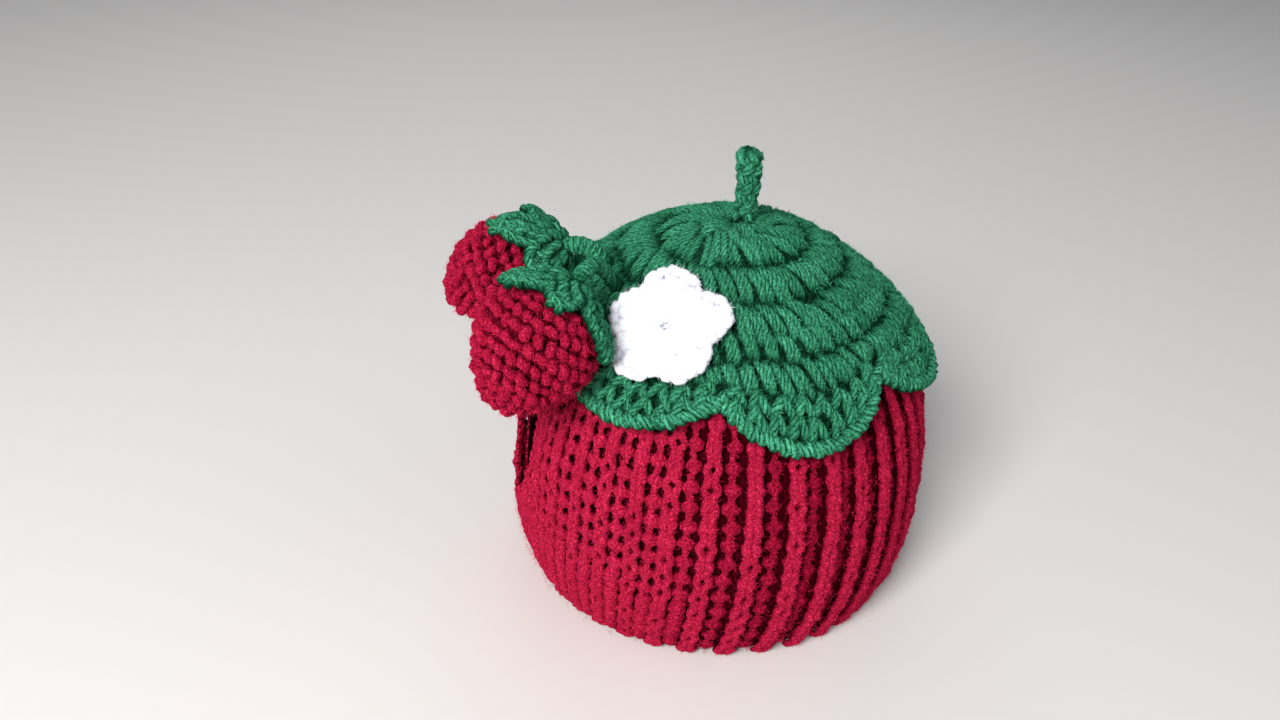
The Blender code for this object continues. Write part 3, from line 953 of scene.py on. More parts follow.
@dataclass(frozen=True)
class Profile(Wall):
    """The cover's crest surface, a power curve below the belly and a superellipse above it."""

    belly_radius: float = 0.086
    belly_height: float = 0.045
    hem_radius: float = 0.0775
    hem_power: float = 2.6
    crown_height: float = 0.151
    crown_power_up: float = 2.48
    crown_power_out: float = 1.76
    crown_flat_radius: float = 0.010
    lengthways: float = 1.025
    steps: int = 600

    def crest_radius(self, height: Array) -> Array:
        """Works out R - (R - H) (1 - z/b)^p below the belly and R (1 - s^u)^(1/o) above it.

        Args:
            height: heights.

        Returns:
            The crest radii.
        """
        skirt = 1 - np.clip(height / self.belly_height, 0, 1)
        rise = (height - self.belly_height) / (self.crown_height - self.belly_height)
        low = self.belly_radius - (self.belly_radius - self.hem_radius) * skirt**self.hem_power
        high = (1 - np.clip(rise, 0, 1) ** self.crown_power_up) ** (1 / self.crown_power_out)
        return np.where(height < self.belly_height, low, self.belly_radius * high)

    @cached_property
    def trace(self) -> tuple[Array, Array, Array, Array, Array]:
        """The profile's points from the crown to the hem.

        Returns:
            Their radii, heights, arcs and the outward normal's two parts.
        """
        turn = np.linspace(0, math.pi / 2, self.steps)
        high = self.belly_height + (self.crown_height - self.belly_height) * np.cos(turn)
        heights = np.concatenate([high, np.linspace(self.belly_height, 0, self.steps)[1:]])
        radii = self.crest_radius(heights)
        kept = radii > self.crown_flat_radius
        heights, radii = heights[kept], radii[kept]
        heights = np.concatenate([[heights[0], heights[0]], heights])
        radii = np.concatenate([[0, self.crown_flat_radius / 2], radii])
        arcs = travelled(np.hypot(np.diff(radii), np.diff(heights)))
        return radii, heights, arcs, np.gradient(-heights, arcs), np.gradient(radii, arcs)

    @property
    def whole_arc(self) -> float:
        """The arc at the hem."""
        return float(self.trace[2][-1])

    def radius_at(self, arc: Array) -> Array:
        """Returns the crest radius at the arcs."""
        return np.interp(arc, self.trace[2], self.trace[0])

    def height_at(self, arc: Array) -> Array:
        """Returns the crest height at the arcs."""
        return np.interp(arc, self.trace[2], self.trace[1])

    def arc_at_height(self, height: Array | float) -> Array | float:
        """Returns the arc at which the profile passes this height."""
        return np.interp(-height, -self.trace[1][1:], self.trace[2][1:])

    def arc_at_radius(self, radius: float) -> float:
        """Returns the arc on the crown at which the profile has this radius."""
        widest = int(np.argmax(self.trace[0]))
        return float(np.interp(radius, self.trace[0][:widest], self.trace[2][:widest]))

    def place(self, around: Array, along: Array, lift: Array) -> Array:
        """Places points off the crests, along their normal.

        Args:
            around: bearings.
            along: arcs.
            lift: distances off the crests.

        Returns:
            The places.
        """
        bearing, arc, lift = np.broadcast_arrays(around, along, lift)
        radii, heights, arcs, out, up = self.trace
        radius = np.interp(arc, arcs, radii) + lift * np.interp(arc, arcs, out)
        height = np.interp(arc, arcs, heights) + lift * np.interp(arc, arcs, up)
        flat = [self.lengthways * radius * np.sin(bearing), -radius * np.cos(bearing), height]
        return np.stack(flat, axis=-1) + AXIS


PROFILE = Profile()
# How far a plain place on the cap's top stands off the profile, a little over its gap and thickness.
CAP_TOP = 0.0049


# --- The ribbed cover ---


@dataclass(frozen=True)
class Opening:
    """A pointed-oval opening in the cover on one side of the axis, -1 for -X and 1 for +X."""

    facing: int
    bottom: float
    top: float
    half_width: float

    def width_at(self, height: Array) -> Array:
        """Returns half the opening's width, w sin(pi u)^0.7 with u the way up it."""
        rise = np.clip((height - self.bottom) / (self.top - self.bottom), 0, 1)
        return self.half_width * np.sin(math.pi * rise) ** 0.7


@dataclass(frozen=True)
class RibbedCover(Wall):
    """The red cover: a wall of cloth with a ridge and a valley column of loops for each rib."""

    rib_count: int = 40
    rib_depth: float = 0.0034
    rib_full_height: float = 0.118
    rib_fade_height: float = 0.130
    lean: float = math.radians(-4.0)
    lean_height: float = 0.065
    pull: float = math.radians(-6.5)
    pull_bearings: Floats = radians(-90.0, -55.0, -18.0, 20.0)
    flat_bearings: Floats = radians(-110.0, -85.0, -34.0, 18.0)
    thickness: float = 0.0064
    row_pitch: float = 0.0080
    first_row_height: float = 0.126
    last_row_up: float = 0.0042
    ridge_sink: float = 0.0020
    valley_sink: float = 0.0046
    cloth_sink: float = 0.0050
    drawn_height: float = 0.034
    slim_bearings: Floats = radians(-125.0, -95.0, -45.0, -15.0, 8.0, 32.0)
    slimness: Floats = (0.80, 0.87, 0.87, 1.0, 1.0, 0.80)
    evened: float = 0.75
    holed_share: float = 0.55
    ridge_clearance: float = 0.0012
    valley_clearance: float = 0.0018
    edge_lift: float = 0.0006
    rib_pitch: float = 0.0135
    whole_run: Run = Run(
        radius=0.00210, rise=0.0001, stations=13, aside=0.00120, sway=0.00025, swell=0.09
    )
    holed_run: Run = replace(whole_run, part=0.00115, pinch=0.00085, bell=0.0020)
    open_run: Run = Run(radius=0.00258, rise=-0.0004, stations=13, swell=0.54, scallop=0.0)
    closed_run: Run = Run(radius=0.00330, rise=0.0, stations=13, swell=0.06)
    hem_leg: Leg = Leg(
        (-0.0024, 0.0007), (0.0024, -0.0009), rise=0.0005, foot_dive=0.0006, head_dive=0.0006,
        radius=0.00135, stations=6
    )
    rim_leg: Leg = Leg(
        (-0.0027, 0.0006), (0.0027, -0.0006), rise=0.0004, foot_dive=0.0010, head_dive=-0.0006,
        radius=0.00138
    )
    spout: Opening = Opening(-1, 0.032, 0.112, 0.027)
    handle: Opening = Opening(1, 0.046, 0.112, 0.009)

    def swing(self, bearing: Array, arc: Array) -> Array:
        """Returns how far a rib stands aside of its even place, as its lean and its pull."""
        low = np.clip(1 - PROFILE.height_at(arc) / self.lean_height, 0, 1)
        return self.lean * low**2 + self.pull * plateau(bearing, self.pull_bearings)

    def sink(self, bearing: Array, arc: Array) -> Array:
        """Returns depth (1 - cos(ribs * bearing)) / 2 for even bearings, faded on the crown."""
        fade = np.interp(PROFILE.height_at(arc), (self.rib_full_height, self.rib_fade_height), (1, 0))
        return self.rib_depth * fade * (0.5 - 0.5 * np.cos(self.rib_count * bearing))

    def place(self, around: Array, along: Array, lift: Array) -> Array:
        """Returns points by even bearings, which the ribs' swing then moves."""
        return PROFILE.place(around + self.swing(around, along), along, lift)

    def in_opening(self, points: Array, margin: float) -> Array:
        """Finds the points that lie within an opening.

        Args:
            points: places.
            margin: how much wider each opening is taken.

        Returns:
            A mask of the points.
        """
        away = points - AXIS
        found = np.zeros(points.shape[:-1], bool)
        for opening in (self.spout, self.handle):
            inside = (away[..., 2] > opening.bottom - margin) & (away[..., 2] < opening.top + margin)
            side = away[..., 0] * opening.facing > 0
            near = np.abs(away[..., 1]) < opening.width_at(away[..., 2]) + margin
            found |= inside & side & near
        return found

    def clear(self, strands: Strands, margin: float) -> Array:
        """Returns a mask of the strands whose middle lies outside the openings."""
        return ~self.in_opening(strands.middle(), margin)

    def grid(self, rng: np.random.Generator, phase: float, lift: float, loose: float) -> Stitches:
        """Sets one stitch for each rib and row, a little off its place but where it is flat.

        Args:
            rng: the seeded source of chance.
            phase: the column's place in the rib, 0 on the ridge and 0.5 in the valley.
            lift: the stitch's lift off the crests.
            loose: how far the stitches vary, as a share of the usual.

        Returns:
            The stitches.
        """
        first = PROFILE.arc_at_height(self.first_row_height)
        span = PROFILE.whole_arc - self.last_row_up - first
        steps = int(round(span / self.row_pitch))
        rows = first + span * np.arange(steps + 1) / steps
        rib, row = np.meshgrid(np.arange(self.rib_count) + phase, rows, indexing="ij")
        bearing = FULL * rib.ravel() / self.rib_count
        arc = row.ravel()
        count = len(arc)
        girth = PROFILE.radius_at(arc)
        loose = loose * (1 - self.evened * self.flatness(bearing))
        bearing = bearing + loose * rng.normal(0, 0.00022, count) / girth
        arc = arc + loose * rng.normal(0, 0.00030, count)
        size = np.clip(girth / 0.084, 0.80, 1.03) * rng.normal(1.0, 0.035 * loose, count)
        height = lift + loose * rng.normal(0, 0.00018, count)
        tint = tints(rng, count)
        return Stitches(bearing, arc, height, size, tint, loose * rng.normal(0, 0.05, count))

    def flatness(self, bearing: Array) -> Array:
        """Returns 1 where the cover is stretched flat over the pot's left front, else 0."""
        return plateau(bearing, self.flat_bearings)

    def ridge_strands(self) -> Strands:
        """Lays the ridges: two soft cords side by side, parted by a hole at some of the rows.

        Returns:
            The cords, broadest on the front between the flat cloth and the loose.
        """
        rng = np.random.default_rng(11)
        stitches = self.grid(rng, 0.0, -self.ridge_sink, loose=0.60)
        stitches.lift = stitches.lift - 0.0006 * self.flatness(stitches.around)
        slim = np.interp(wrapped(stitches.around), self.slim_bearings, self.slimness)
        open_row = rng.random(len(slim)) < self.holed_share
        strands = []
        for side in (-1.0, 1.0):
            for run, mask in ((self.whole_run, ~open_row), (self.holed_run, open_row)):
                cords = self.lay(stitches, run, side * slim[:, None])
                cords.radius *= slim[:, None]
                strands.append(cords.pick(mask))
        return Strands.join(strands)

    def valley_strands(self) -> tuple[Strands, Array]:
        """Lays the valleys' flat cords, wide at each row and thin between with an opening there.

        The openings are closed low on the flat front, where the cloth is drawn together.

        Returns:
            The cords, and the painted shade of each: darker where the valleys lie deep beside the
                ridges, lighter on the flat front.
        """
        stitches = self.grid(np.random.default_rng(12), 0.5, -self.valley_sink, loose=1.4)
        flatness = self.flatness(stitches.around)
        low = np.clip(1.6 - PROFILE.height_at(stitches.along) / self.drawn_height, 0, 1)
        stitches.lift = stitches.lift + 0.0022 * flatness
        drawn = flatness * low > 0.5
        # Painted shade: valley cords are painted darker, as shade between the ridges, except on the
        # flat front.
        light = 0.56 + 0.40 * flatness
        opened = self.lay(stitches, self.open_run).pick(~drawn)
        closed = self.lay(stitches, self.closed_run).pick(drawn)
        return Strands.join([opened, closed]), np.concatenate([light[~drawn], light[drawn]])

    def hem_strands(self) -> Strands:
        """Lays the cast edge round the hem.

        Returns:
            Short slanted strands that follow the ribs.
        """
        rng = np.random.default_rng(13)
        count = self.rib_count * 4
        bearing = spaced(count, 0.5)
        arc = np.full(count, PROFILE.whole_arc - 0.0017)
        lift = -self.sink(bearing, arc) - 0.0016
        tint = tints(rng, count, 0.45, 0.2)
        stitches = Stitches(bearing, arc, lift, rng.normal(1.0, 0.05, count), tint, 0 * bearing)
        return self.lay(stitches, self.hem_leg).above_floor()

    def rim_strands(self, opening: Opening) -> Strands:
        """Lays the edging of one opening.

        Args:
            opening: the opening.

        Returns:
            Short strands along its edge, each over the next.
        """
        u = np.linspace(0.01, 0.99, 300)
        height = opening.bottom + u * (opening.top - opening.bottom)
        arcs = PROFILE.arc_at_height(height)
        half = np.arcsin(np.clip(opening.width_at(height) / PROFILE.radius_at(arcs), -1, 1))
        middle = opening.facing * math.pi / 2
        bearing = np.concatenate([middle + half, (middle - half)[::-1]])
        route = Route(PROFILE, bearing, np.concatenate([arcs, arcs[::-1]]))
        return route.rope(self.rim_leg, 0.0033, -0.0030, 17 + opening.facing)

    def cloth_object(self) -> Object:
        """Makes the wall of cloth behind the loops, open at the hem, the spout and the handle.

        It is a front and a back panel, whose rows run evenly between the openings' edges at
        bearing +-90 degrees -+ asin(width / radius). They lie on the sunk crest surface outside
        and on a smooth surface inside, joined under the hem.

        Returns:
            The object.
        """
        columns = self.rib_count * 3
        marks = [PROFILE.crown_flat_radius, PROFILE.arc_at_height(self.rib_fade_height)]
        bends = (self.spout.top, self.handle.bottom, self.spout.bottom)
        marks += [PROFILE.arc_at_height(height) for height in bends] + [PROFILE.whole_arc]
        counts = (8, 6, 26, 6, 10)
        runs = [np.linspace(a, b, n, endpoint=False) for a, b, n in zip(marks, marks[1:], counts)]
        arcs = np.concatenate([*runs, marks[-1:]])
        height, radius = PROFILE.height_at(arcs), PROFILE.radius_at(arcs)
        spout = np.arcsin(np.clip(self.spout.width_at(height) / radius, 0, 1))
        handle = np.arcsin(np.clip(self.handle.width_at(height) / radius, 0, 1))
        spout[spout < 1e-3], handle[handle < 1e-3] = 0, 0
        share = np.linspace(0, 1, columns + 1)[None]
        quarter = math.pi / 2
        front = (-quarter + spout)[:, None] * (1 - share) + (quarter - handle)[:, None] * share
        back = (quarter + handle)[:, None] * (1 - share) + (3 * quarter - spout)[:, None] * share
        bearing = np.concatenate([front, back], axis=1)
        arc = np.broadcast_to(arcs[:, None], bearing.shape)
        even = bearing - self.swing(bearing, arc)
        sunk = -0.10 * self.sink(even, arc) - self.cloth_sink
        outer = PROFILE.place(bearing, arc, sunk)
        inner = PROFILE.place(bearing, arc, -self.thickness)
        outer[-1, :, 2] = inner[-1, :, 2] = self.edge_lift
        rows, wide = bearing.shape
        sides = np.concatenate([outer, inner[::-1]])
        points = np.concatenate([
            sides.reshape(-1, 3),
            PROFILE.place(0.0, 0.0, -self.cloth_sink)[None],
            PROFILE.place(0.0, 0.0, -self.thickness)[None],
        ])
        quads, _, column = grid_quads(2 * rows, wide)
        quads = quads[(column != columns) & (column != wide - 1)]
        quads = np.concatenate([quads, self.edge_faces(rows, wide, columns, spout, handle)])
        k = np.arange(wide)
        in_panel = (k != columns) & (k != wide - 1)
        triangles = pole_fans(2 * rows, wide)[np.tile(in_panel, 2)]
        around = 100 * np.concatenate([bearing, bearing[::-1]]) * self.rib_count
        flat = np.stack(
            [around * self.rib_pitch / FULL, 100 * np.concatenate([arc, arc[::-1]])], axis=-1
        )
        flat = np.concatenate([flat.reshape(-1, 2), np.zeros((2, 2))])
        half = sides.size // 6
        inside = np.concatenate([np.zeros(half), np.ones(half), [0.0, 1.0]])
        # Painted shade: the outer face is painted almost black, as the shade seen through the holes
        # between the loops, and the inner face fully lit.
        fields = {"tint": np.full(len(points), 0.4), "painted_light": 0.02 + 0.98 * inside}
        faces = Faces(quads, flat[quads], triangles, flat[triangles])
        cloth = make_object("cover_cloth", points, faces, RED.cloth, fields)
        merge_doubles(cloth)
        return cloth

    @staticmethod
    def edge_faces(rows: int, wide: int, columns: int, spout: Array, handle: Array) -> Array:
        """Joins the wall's two sides through its thickness, round both openings.

        Args:
            rows: rows on each side of the wall.
            wide: points in a row.
            columns: faces in a panel's row.
            spout: the spout opening's half angle at each row.
            handle: the handle opening's half angle at each row.

        Returns:
            (n, 4) point numbers.
        """
        found = []
        for half, first, second in ((handle, columns, columns + 1), (spout, wide - 1, 0)):
            r = np.flatnonzero((half[:-1] > 0) | (half[1:] > 0))
            mirror = 2 * rows - 1 - r
            for column, turned in ((first, False), (second, True)):
                face = np.stack([r, r + 1, mirror - 1, mirror], axis=-1) * wide + column
                found.append(face if turned else face[:, ::-1])
        return np.concatenate(found)

    def build(self) -> list[Object]:
        """Returns:
            The pieces.
        """
        cloth = self.cloth_object()
        ridges = self.ridge_strands()
        ridges = ridges.pick(self.clear(ridges, self.ridge_clearance)).above_floor()
        valleys, light = self.valley_strands()
        kept = self.clear(valleys, self.valley_clearance)
        valleys, light = valleys.pick(kept).above_floor(), light[kept]
        half = ridges.line[:, 4, 1] < AXIS[1]
        edges = {
            "hem_edge": self.hem_strands(),
            "spout_edge": self.rim_strands(self.spout),
            "handle_edge": self.rim_strands(self.handle),
        }
        pieces = [
            ridges.pick(half).to_object("ridge_loops_front", RED.strand, painted_end_shade=False),
            ridges.pick(~half).to_object("ridge_loops_back", RED.strand, painted_end_shade=False),
            valleys.to_object("valley_loops", RED.strand, flat=0.52, painted_depth_shade=light, painted_end_shade=False),
        ]
        pieces += [edge.to_object(name, RED.strand) for name, edge in edges.items()]
        pieces.append(fuzz_object("cover_fuzz", ridges, 30000, RED.fuzz, 101))
        pieces.append(fuzz_object("valley_fuzz", valleys, 8000, RED.fuzz, 102))
        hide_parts("ribbed_cover")
        return [cloth, *pieces]


def merge_doubles(piece: Object, distance: float = 1e-6) -> None:
    """Merges a piece's coincident points, so that its panels share their seams.

    Args:
        piece: the piece.
        distance: how far apart merged points may lie.
    """
    work = bmesh.new()
    work.from_mesh(piece.data)
    bmesh.ops.remove_doubles(work, verts=work.verts, dist=distance)
    bmesh.ops.dissolve_degenerate(work, edges=work.edges, dist=distance)
    work.to_mesh(piece.data)
    work.free()


# --- The leaf cap ---


@dataclass(frozen=True)
class Lobe:
    """One leaf of the cap's edge: how far it hangs and how far its edge stands off."""

    drop: float
    flare: float


@dataclass(frozen=True)
class LeafCap(Wall):
    """The green cap: a top, two ringed bands and seven leaves, in tall slanted stitches."""

    gap: float = 0.0005
    thickness: float = 0.0040
    notch_height: float = 0.1135
    round_radii: Floats = (0.0295, 0.0435, 0.0600)
    first_bearing: float = math.radians(11.9)
    hollow_bearing: float = math.radians(-29.8)
    hollow_arc: float = 0.0872
    hollow_reach: float = 0.0042
    hollow_depth: float = 0.0038
    hollow_girth: float = 0.076
    overhang: float = 0.0012
    bundles: int = 9
    cloth_top: float = -0.0021
    cloth_under: float = -0.0038
    edge_leg: Leg = Leg(
        (-0.0036, -0.0020), (0.0036, 0.0018), bow=0.0002, rise=0.0008, foot_dive=0.0009,
        head_dive=0.0014, radius=0.00205, narrowing=0.30, stations=8
    )
    lobes: tuple[Lobe, ...] = (
        Lobe(0.0190, 0.0025),
        Lobe(0.0170, 0.0035),
        Lobe(0.0185, 0.0025),
        Lobe(0.0175, 0.0030),
        Lobe(0.0190, 0.0025),
        Lobe(0.0090, 0.0015),
        Lobe(0.0130, 0.0045),
    )

    @property
    def width(self) -> float:
        """The angle that one leaf spans."""
        return FULL / len(self.lobes)

    @cached_property
    def start(self) -> float:
        """The arc at which the leaves begin."""
        return PROFILE.arc_at_radius(self.round_radii[-1])

    def leaf(self, bearing: Array) -> tuple[Array, Array]:
        """Works out the leaves' sizes times their fullness, sin(pi u)^0.75 over a leaf's width.

        Args:
            bearing: bearings.

        Returns:
            The drop and the flare at each bearing.
        """
        turned = np.mod(bearing - self.first_bearing + self.width / 2, FULL)
        number = np.minimum((turned / self.width).astype(int), len(self.lobes) - 1)
        fullness = np.sin(math.pi * (turned / self.width - number)).clip(0, 1) ** 0.75
        sizes = np.array([(lobe.drop, lobe.flare) for lobe in self.lobes])[number]
        return sizes[..., 0] * fullness, sizes[..., 1] * fullness

    def edge(self, bearing: Array) -> Array:
        """Returns the arc of the edge, notch + drop."""
        return PROFILE.arc_at_height(self.notch_height) + self.leaf(bearing)[0]

    def flare(self, bearing: Array, arc: Array) -> Array:
        """Returns how far the cap stands off, flare * way squared."""
        way = np.clip((arc - self.start) / (self.edge(bearing) - self.start), 0, 1)
        return self.leaf(bearing)[1] * way**2

    def hollow(self, bearing: Array, arc: Array) -> Array:
        """Works out the hollow of the curled leaf: a bell dent in a raised ring.

        Args:
            bearing: bearings.
            arc: arcs.

        Returns:
            The lift round it.
        """
        across = wrapped(bearing - self.hollow_bearing) * self.hollow_girth
        away = np.hypot(across, 1.25 * (arc - self.hollow_arc)) / self.hollow_reach
        return self.hollow_depth * (0.4 * np.exp(-((away - 2.0) ** 2)) - np.exp(-(away**2)))

    def place(self, around: Array, along: Array, lift: Array) -> Array:
        """Places points off the cap's upper surface.

        Args:
            around: bearings.
            along: arcs.
            lift: distances off the surface.

        Returns:
            The places.
        """
        around, along = np.broadcast_arrays(np.asarray(around, float), np.asarray(along, float))
        seat = self.gap + self.thickness + self.flare(around, along)
        dent = self.hollow(around, along) * np.clip(1 + lift / self.thickness, 0, 1)
        return PROFILE.place(around, along, seat + lift + dent)

    def ring(self, count: int, arc: float, seed: int, lift: float, shift: float = 0.0,
             spread: float = 0.0004) -> Stitches:
        """Returns a full round of stitches about one arc, scattered down the cap by the spread."""
        down = np.random.default_rng(seed + 100).normal(0, spread, count)
        return self.scattered(spaced(count, shift) + self.first_bearing, arc + down, lift, seed)

    def tall_pair(self, stitches: Stitches, length: float, slant: float, radius: float,
                  apart: float = 0.0029) -> Strands:
        """Lays two strands side by side for each stitch, slanting to the right as they go down.

        Args:
            stitches: the stitches' middles.
            length: how far a strand reaches down the cap.
            slant: how far its foot and head stand aside.
            radius: the yarn's radius.
            apart: the distance between the two.

        Returns:
            The strands.
        """
        parts = []
        for side in (-0.5, 0.5):
            across, down = side * apart, side * 0.0008
            leg = Leg(
                (across - 0.5 * slant, down - 0.5 * length),
                (across + 0.5 * slant, down + 0.5 * length),
                bow=0.0008, rise=0.0006, foot_dive=0.0018, head_dive=0.0022,
                radius=radius, narrowing=0.30, stations=9,
            )
            parts.append(self.lay(stitches, leg))
        return Strands.join(parts)

    def crown_strands(self) -> Strands:
        """Lays the top, from the stem to the first groove.

        Returns:
            A soft round and a round of pairs, drawn into bundles.
        """
        first = PROFILE.arc_at_radius(self.round_radii[0]) - self.overhang
        inner = self.ring(14, 0.0108, 31, -0.0016, spread=0.0012)
        outer = self.ring(28, first - 0.0092, 33, -0.0013, spread=0.0010)
        for ring in (inner, outer):
            wave = self.bundles * (ring.around - self.first_bearing)
            ring.around = ring.around - 0.50 * np.sin(wave) / self.bundles
            ring.lift = ring.lift + 0.0008 * np.cos(wave)
        return Strands.join([
            self.tall_pair(inner, 0.0160, 0.0026, 0.00160, apart=0.0022),
            self.tall_pair(outer, 0.0190, 0.0050, 0.00150, apart=0.0027),
        ])

    def band_strands(self) -> Strands:
        """Lays the two ringed bands.

        Returns:
            Tall pairs, with a round of plump ones in the second band.
        """
        first, second, third = (PROFILE.arc_at_radius(r) - self.overhang for r in self.round_radii)
        tall = self.ring(38, 0.5 * (first + second), 34, -0.0012)
        wide = self.ring(52, second + 0.0078, 36, -0.0012, spread=0.0008)
        plump = self.ring(52, third - 0.0056, 37, -0.0013, 0.50, spread=0.0008)
        return Strands.join([
            self.tall_pair(tall, 0.0160, 0.0052, 0.00148, apart=0.0027),
            self.tall_pair(wide, 0.0158, 0.0050, 0.00146, apart=0.0027),
            self.tall_pair(plump, 0.0114, 0.0040, 0.00158, apart=0.0026),
        ])

    def leaf_tier(self, count: int, ways: Two, inset: float, slant: float, seed: int,
                  radius: float = 0.00150, crossed: bool = False) -> Strands:
        """Lays one tier of strands over every leaf, which fans out with the leaf's edge.

        A strand's bearing is start + (inset + (1 - 2 inset) u) of the leaf's width.

        Args:
            count: stitches in one leaf.
            ways: where the tier begins and ends, from the last groove to the edge.
            inset: the share of the leaf's width left free at each side.
            slant: the share of it that a strand moves aside on its way down.
            seed: the seed of the small differences.
            radius: the yarn's radius.
            crossed: whether a stitch's two strands spread downwards from one point.

        Returns:
            The strands.
        """
        rng = np.random.default_rng(seed)
        stations = 9
        way = np.linspace(0, 1, stations)[None]
        parts = []
        for side in (-0.5, 0.5):
            number, place = np.meshgrid(np.arange(len(self.lobes)), np.arange(count), indexing="ij")
            u = (place.ravel() + 0.5 + 0.38 * side) / count + rng.normal(0, 0.005, number.size)
            aside = slant + rng.normal(0, 0.016, (number.size, 1)) + (0.10 * side if crossed else 0)
            u = (inset + (1 - 2 * inset) * u)[:, None] + aside * (way - 0.5)
            bearing = self.first_bearing + (number.ravel()[:, None] - 0.5 + u) * self.width
            share = ways[0] + (ways[1] - ways[0]) * way + rng.normal(0, 0.028, (number.size, 1))
            arc = self.start + (self.edge(bearing) - self.start) * share
            lift = -0.0010 + 0.0005 * np.sin(math.pi * way) - 0.0018 * np.abs(2 * way - 1) ** 3
            lift = lift + rng.normal(0, 0.00045, (number.size, 1))
            swell = 1 - 0.35 * np.abs(2 * way - 1) ** 3
            size = radius * rng.normal(1.0, 0.11, (number.size, 1))
            parts.append(Strands(
                self.place(bearing, arc, lift), self.outward(bearing, arc), size * swell,
                tints(rng, number.size),
            ))
        return Strands.join(parts)

    def leaf_strands(self) -> Strands:
        """Lays the leaves in three tiers.

        Returns:
            Pairs at the top, then two tiers of pairs that spread downwards.
        """
        return Strands.join([
            self.leaf_tier(10, (-0.03, 0.40), 0.0, 0.070, 41, radius=0.00150),
            self.leaf_tier(8, (0.36, 0.62), 0.03, -0.010, 42, radius=0.00175, crossed=True),
            self.leaf_tier(9, (0.58, 0.88), 0.03, 0.010, 43, radius=0.00175, crossed=True),
        ])

    def edging(self) -> Strands:
        """Lays the rope along the edge.

        Returns:
            Slanted strands side by side.
        """
        bearing = np.linspace(0, FULL, 1400)
        route = Route(self, bearing, self.edge(bearing) - 0.0016)
        return route.rope(self.edge_leg, 0.0042, -0.0013, 44, lighter=0.35)

    def cloth_object(self) -> Object:
        """Makes the thin domed cloth under the stitches, sunk at its grooves.

        Returns:
            The object.
        """
        columns = spaced(210) + self.first_bearing
        top, under = self.cloth_top, self.cloth_under
        first, second, third = (PROFILE.arc_at_radius(r) for r in self.round_radii)
        arcs = np.concatenate([np.linspace(0.004, first, 12), np.linspace(first, second, 9)[1:],
                               np.linspace(second, third, 12)[1:]])
        grooves = np.array([first, second, third])[:, None]
        dent = np.exp(-(((arcs[None] - grooves) / 0.0016) ** 2)).max(axis=0)
        rings = [self.place(columns, arc, top - 0.0009 * low) for arc, low in zip(arcs, dent)]
        reach = self.edge(columns) - third
        ways = np.linspace(0, 0.965, 18)[1:]
        rings += [self.place(columns, third + reach * way, top) for way in ways]
        rings += [self.place(columns, third + reach * way, under) for way in ways[::-1]]
        rings += [self.place(columns, arc, under) for arc in arcs[::-1]]
        poles = [self.place(0.0, 0.0, lift) for lift in (top, under)]
        return skin_object("cap_cloth", np.stack(rings), *poles, GREEN.cloth, pitch=(24.5, 20.0))

    def build(self) -> list[Object]:
        """Returns:
            The pieces.
        """
        cloth = self.cloth_object()
        upper = Strands.join([self.crown_strands(), self.band_strands()])
        leaves = self.leaf_strands()
        pieces = [
            upper.to_object("cap_stitches", GREEN.strand, sides=7),
            leaves.to_object("leaf_stitches", GREEN.strand, sides=7),
            self.edging().to_object("leaf_edging", GREEN.strand, sides=7),
            fuzz_object("cap_fuzz", Strands.join([upper, leaves]), 20000, GREEN.fuzz, 103),
        ]
        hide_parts("leaf_cap")
        return [cloth, *pieces]


# --- The stem ---


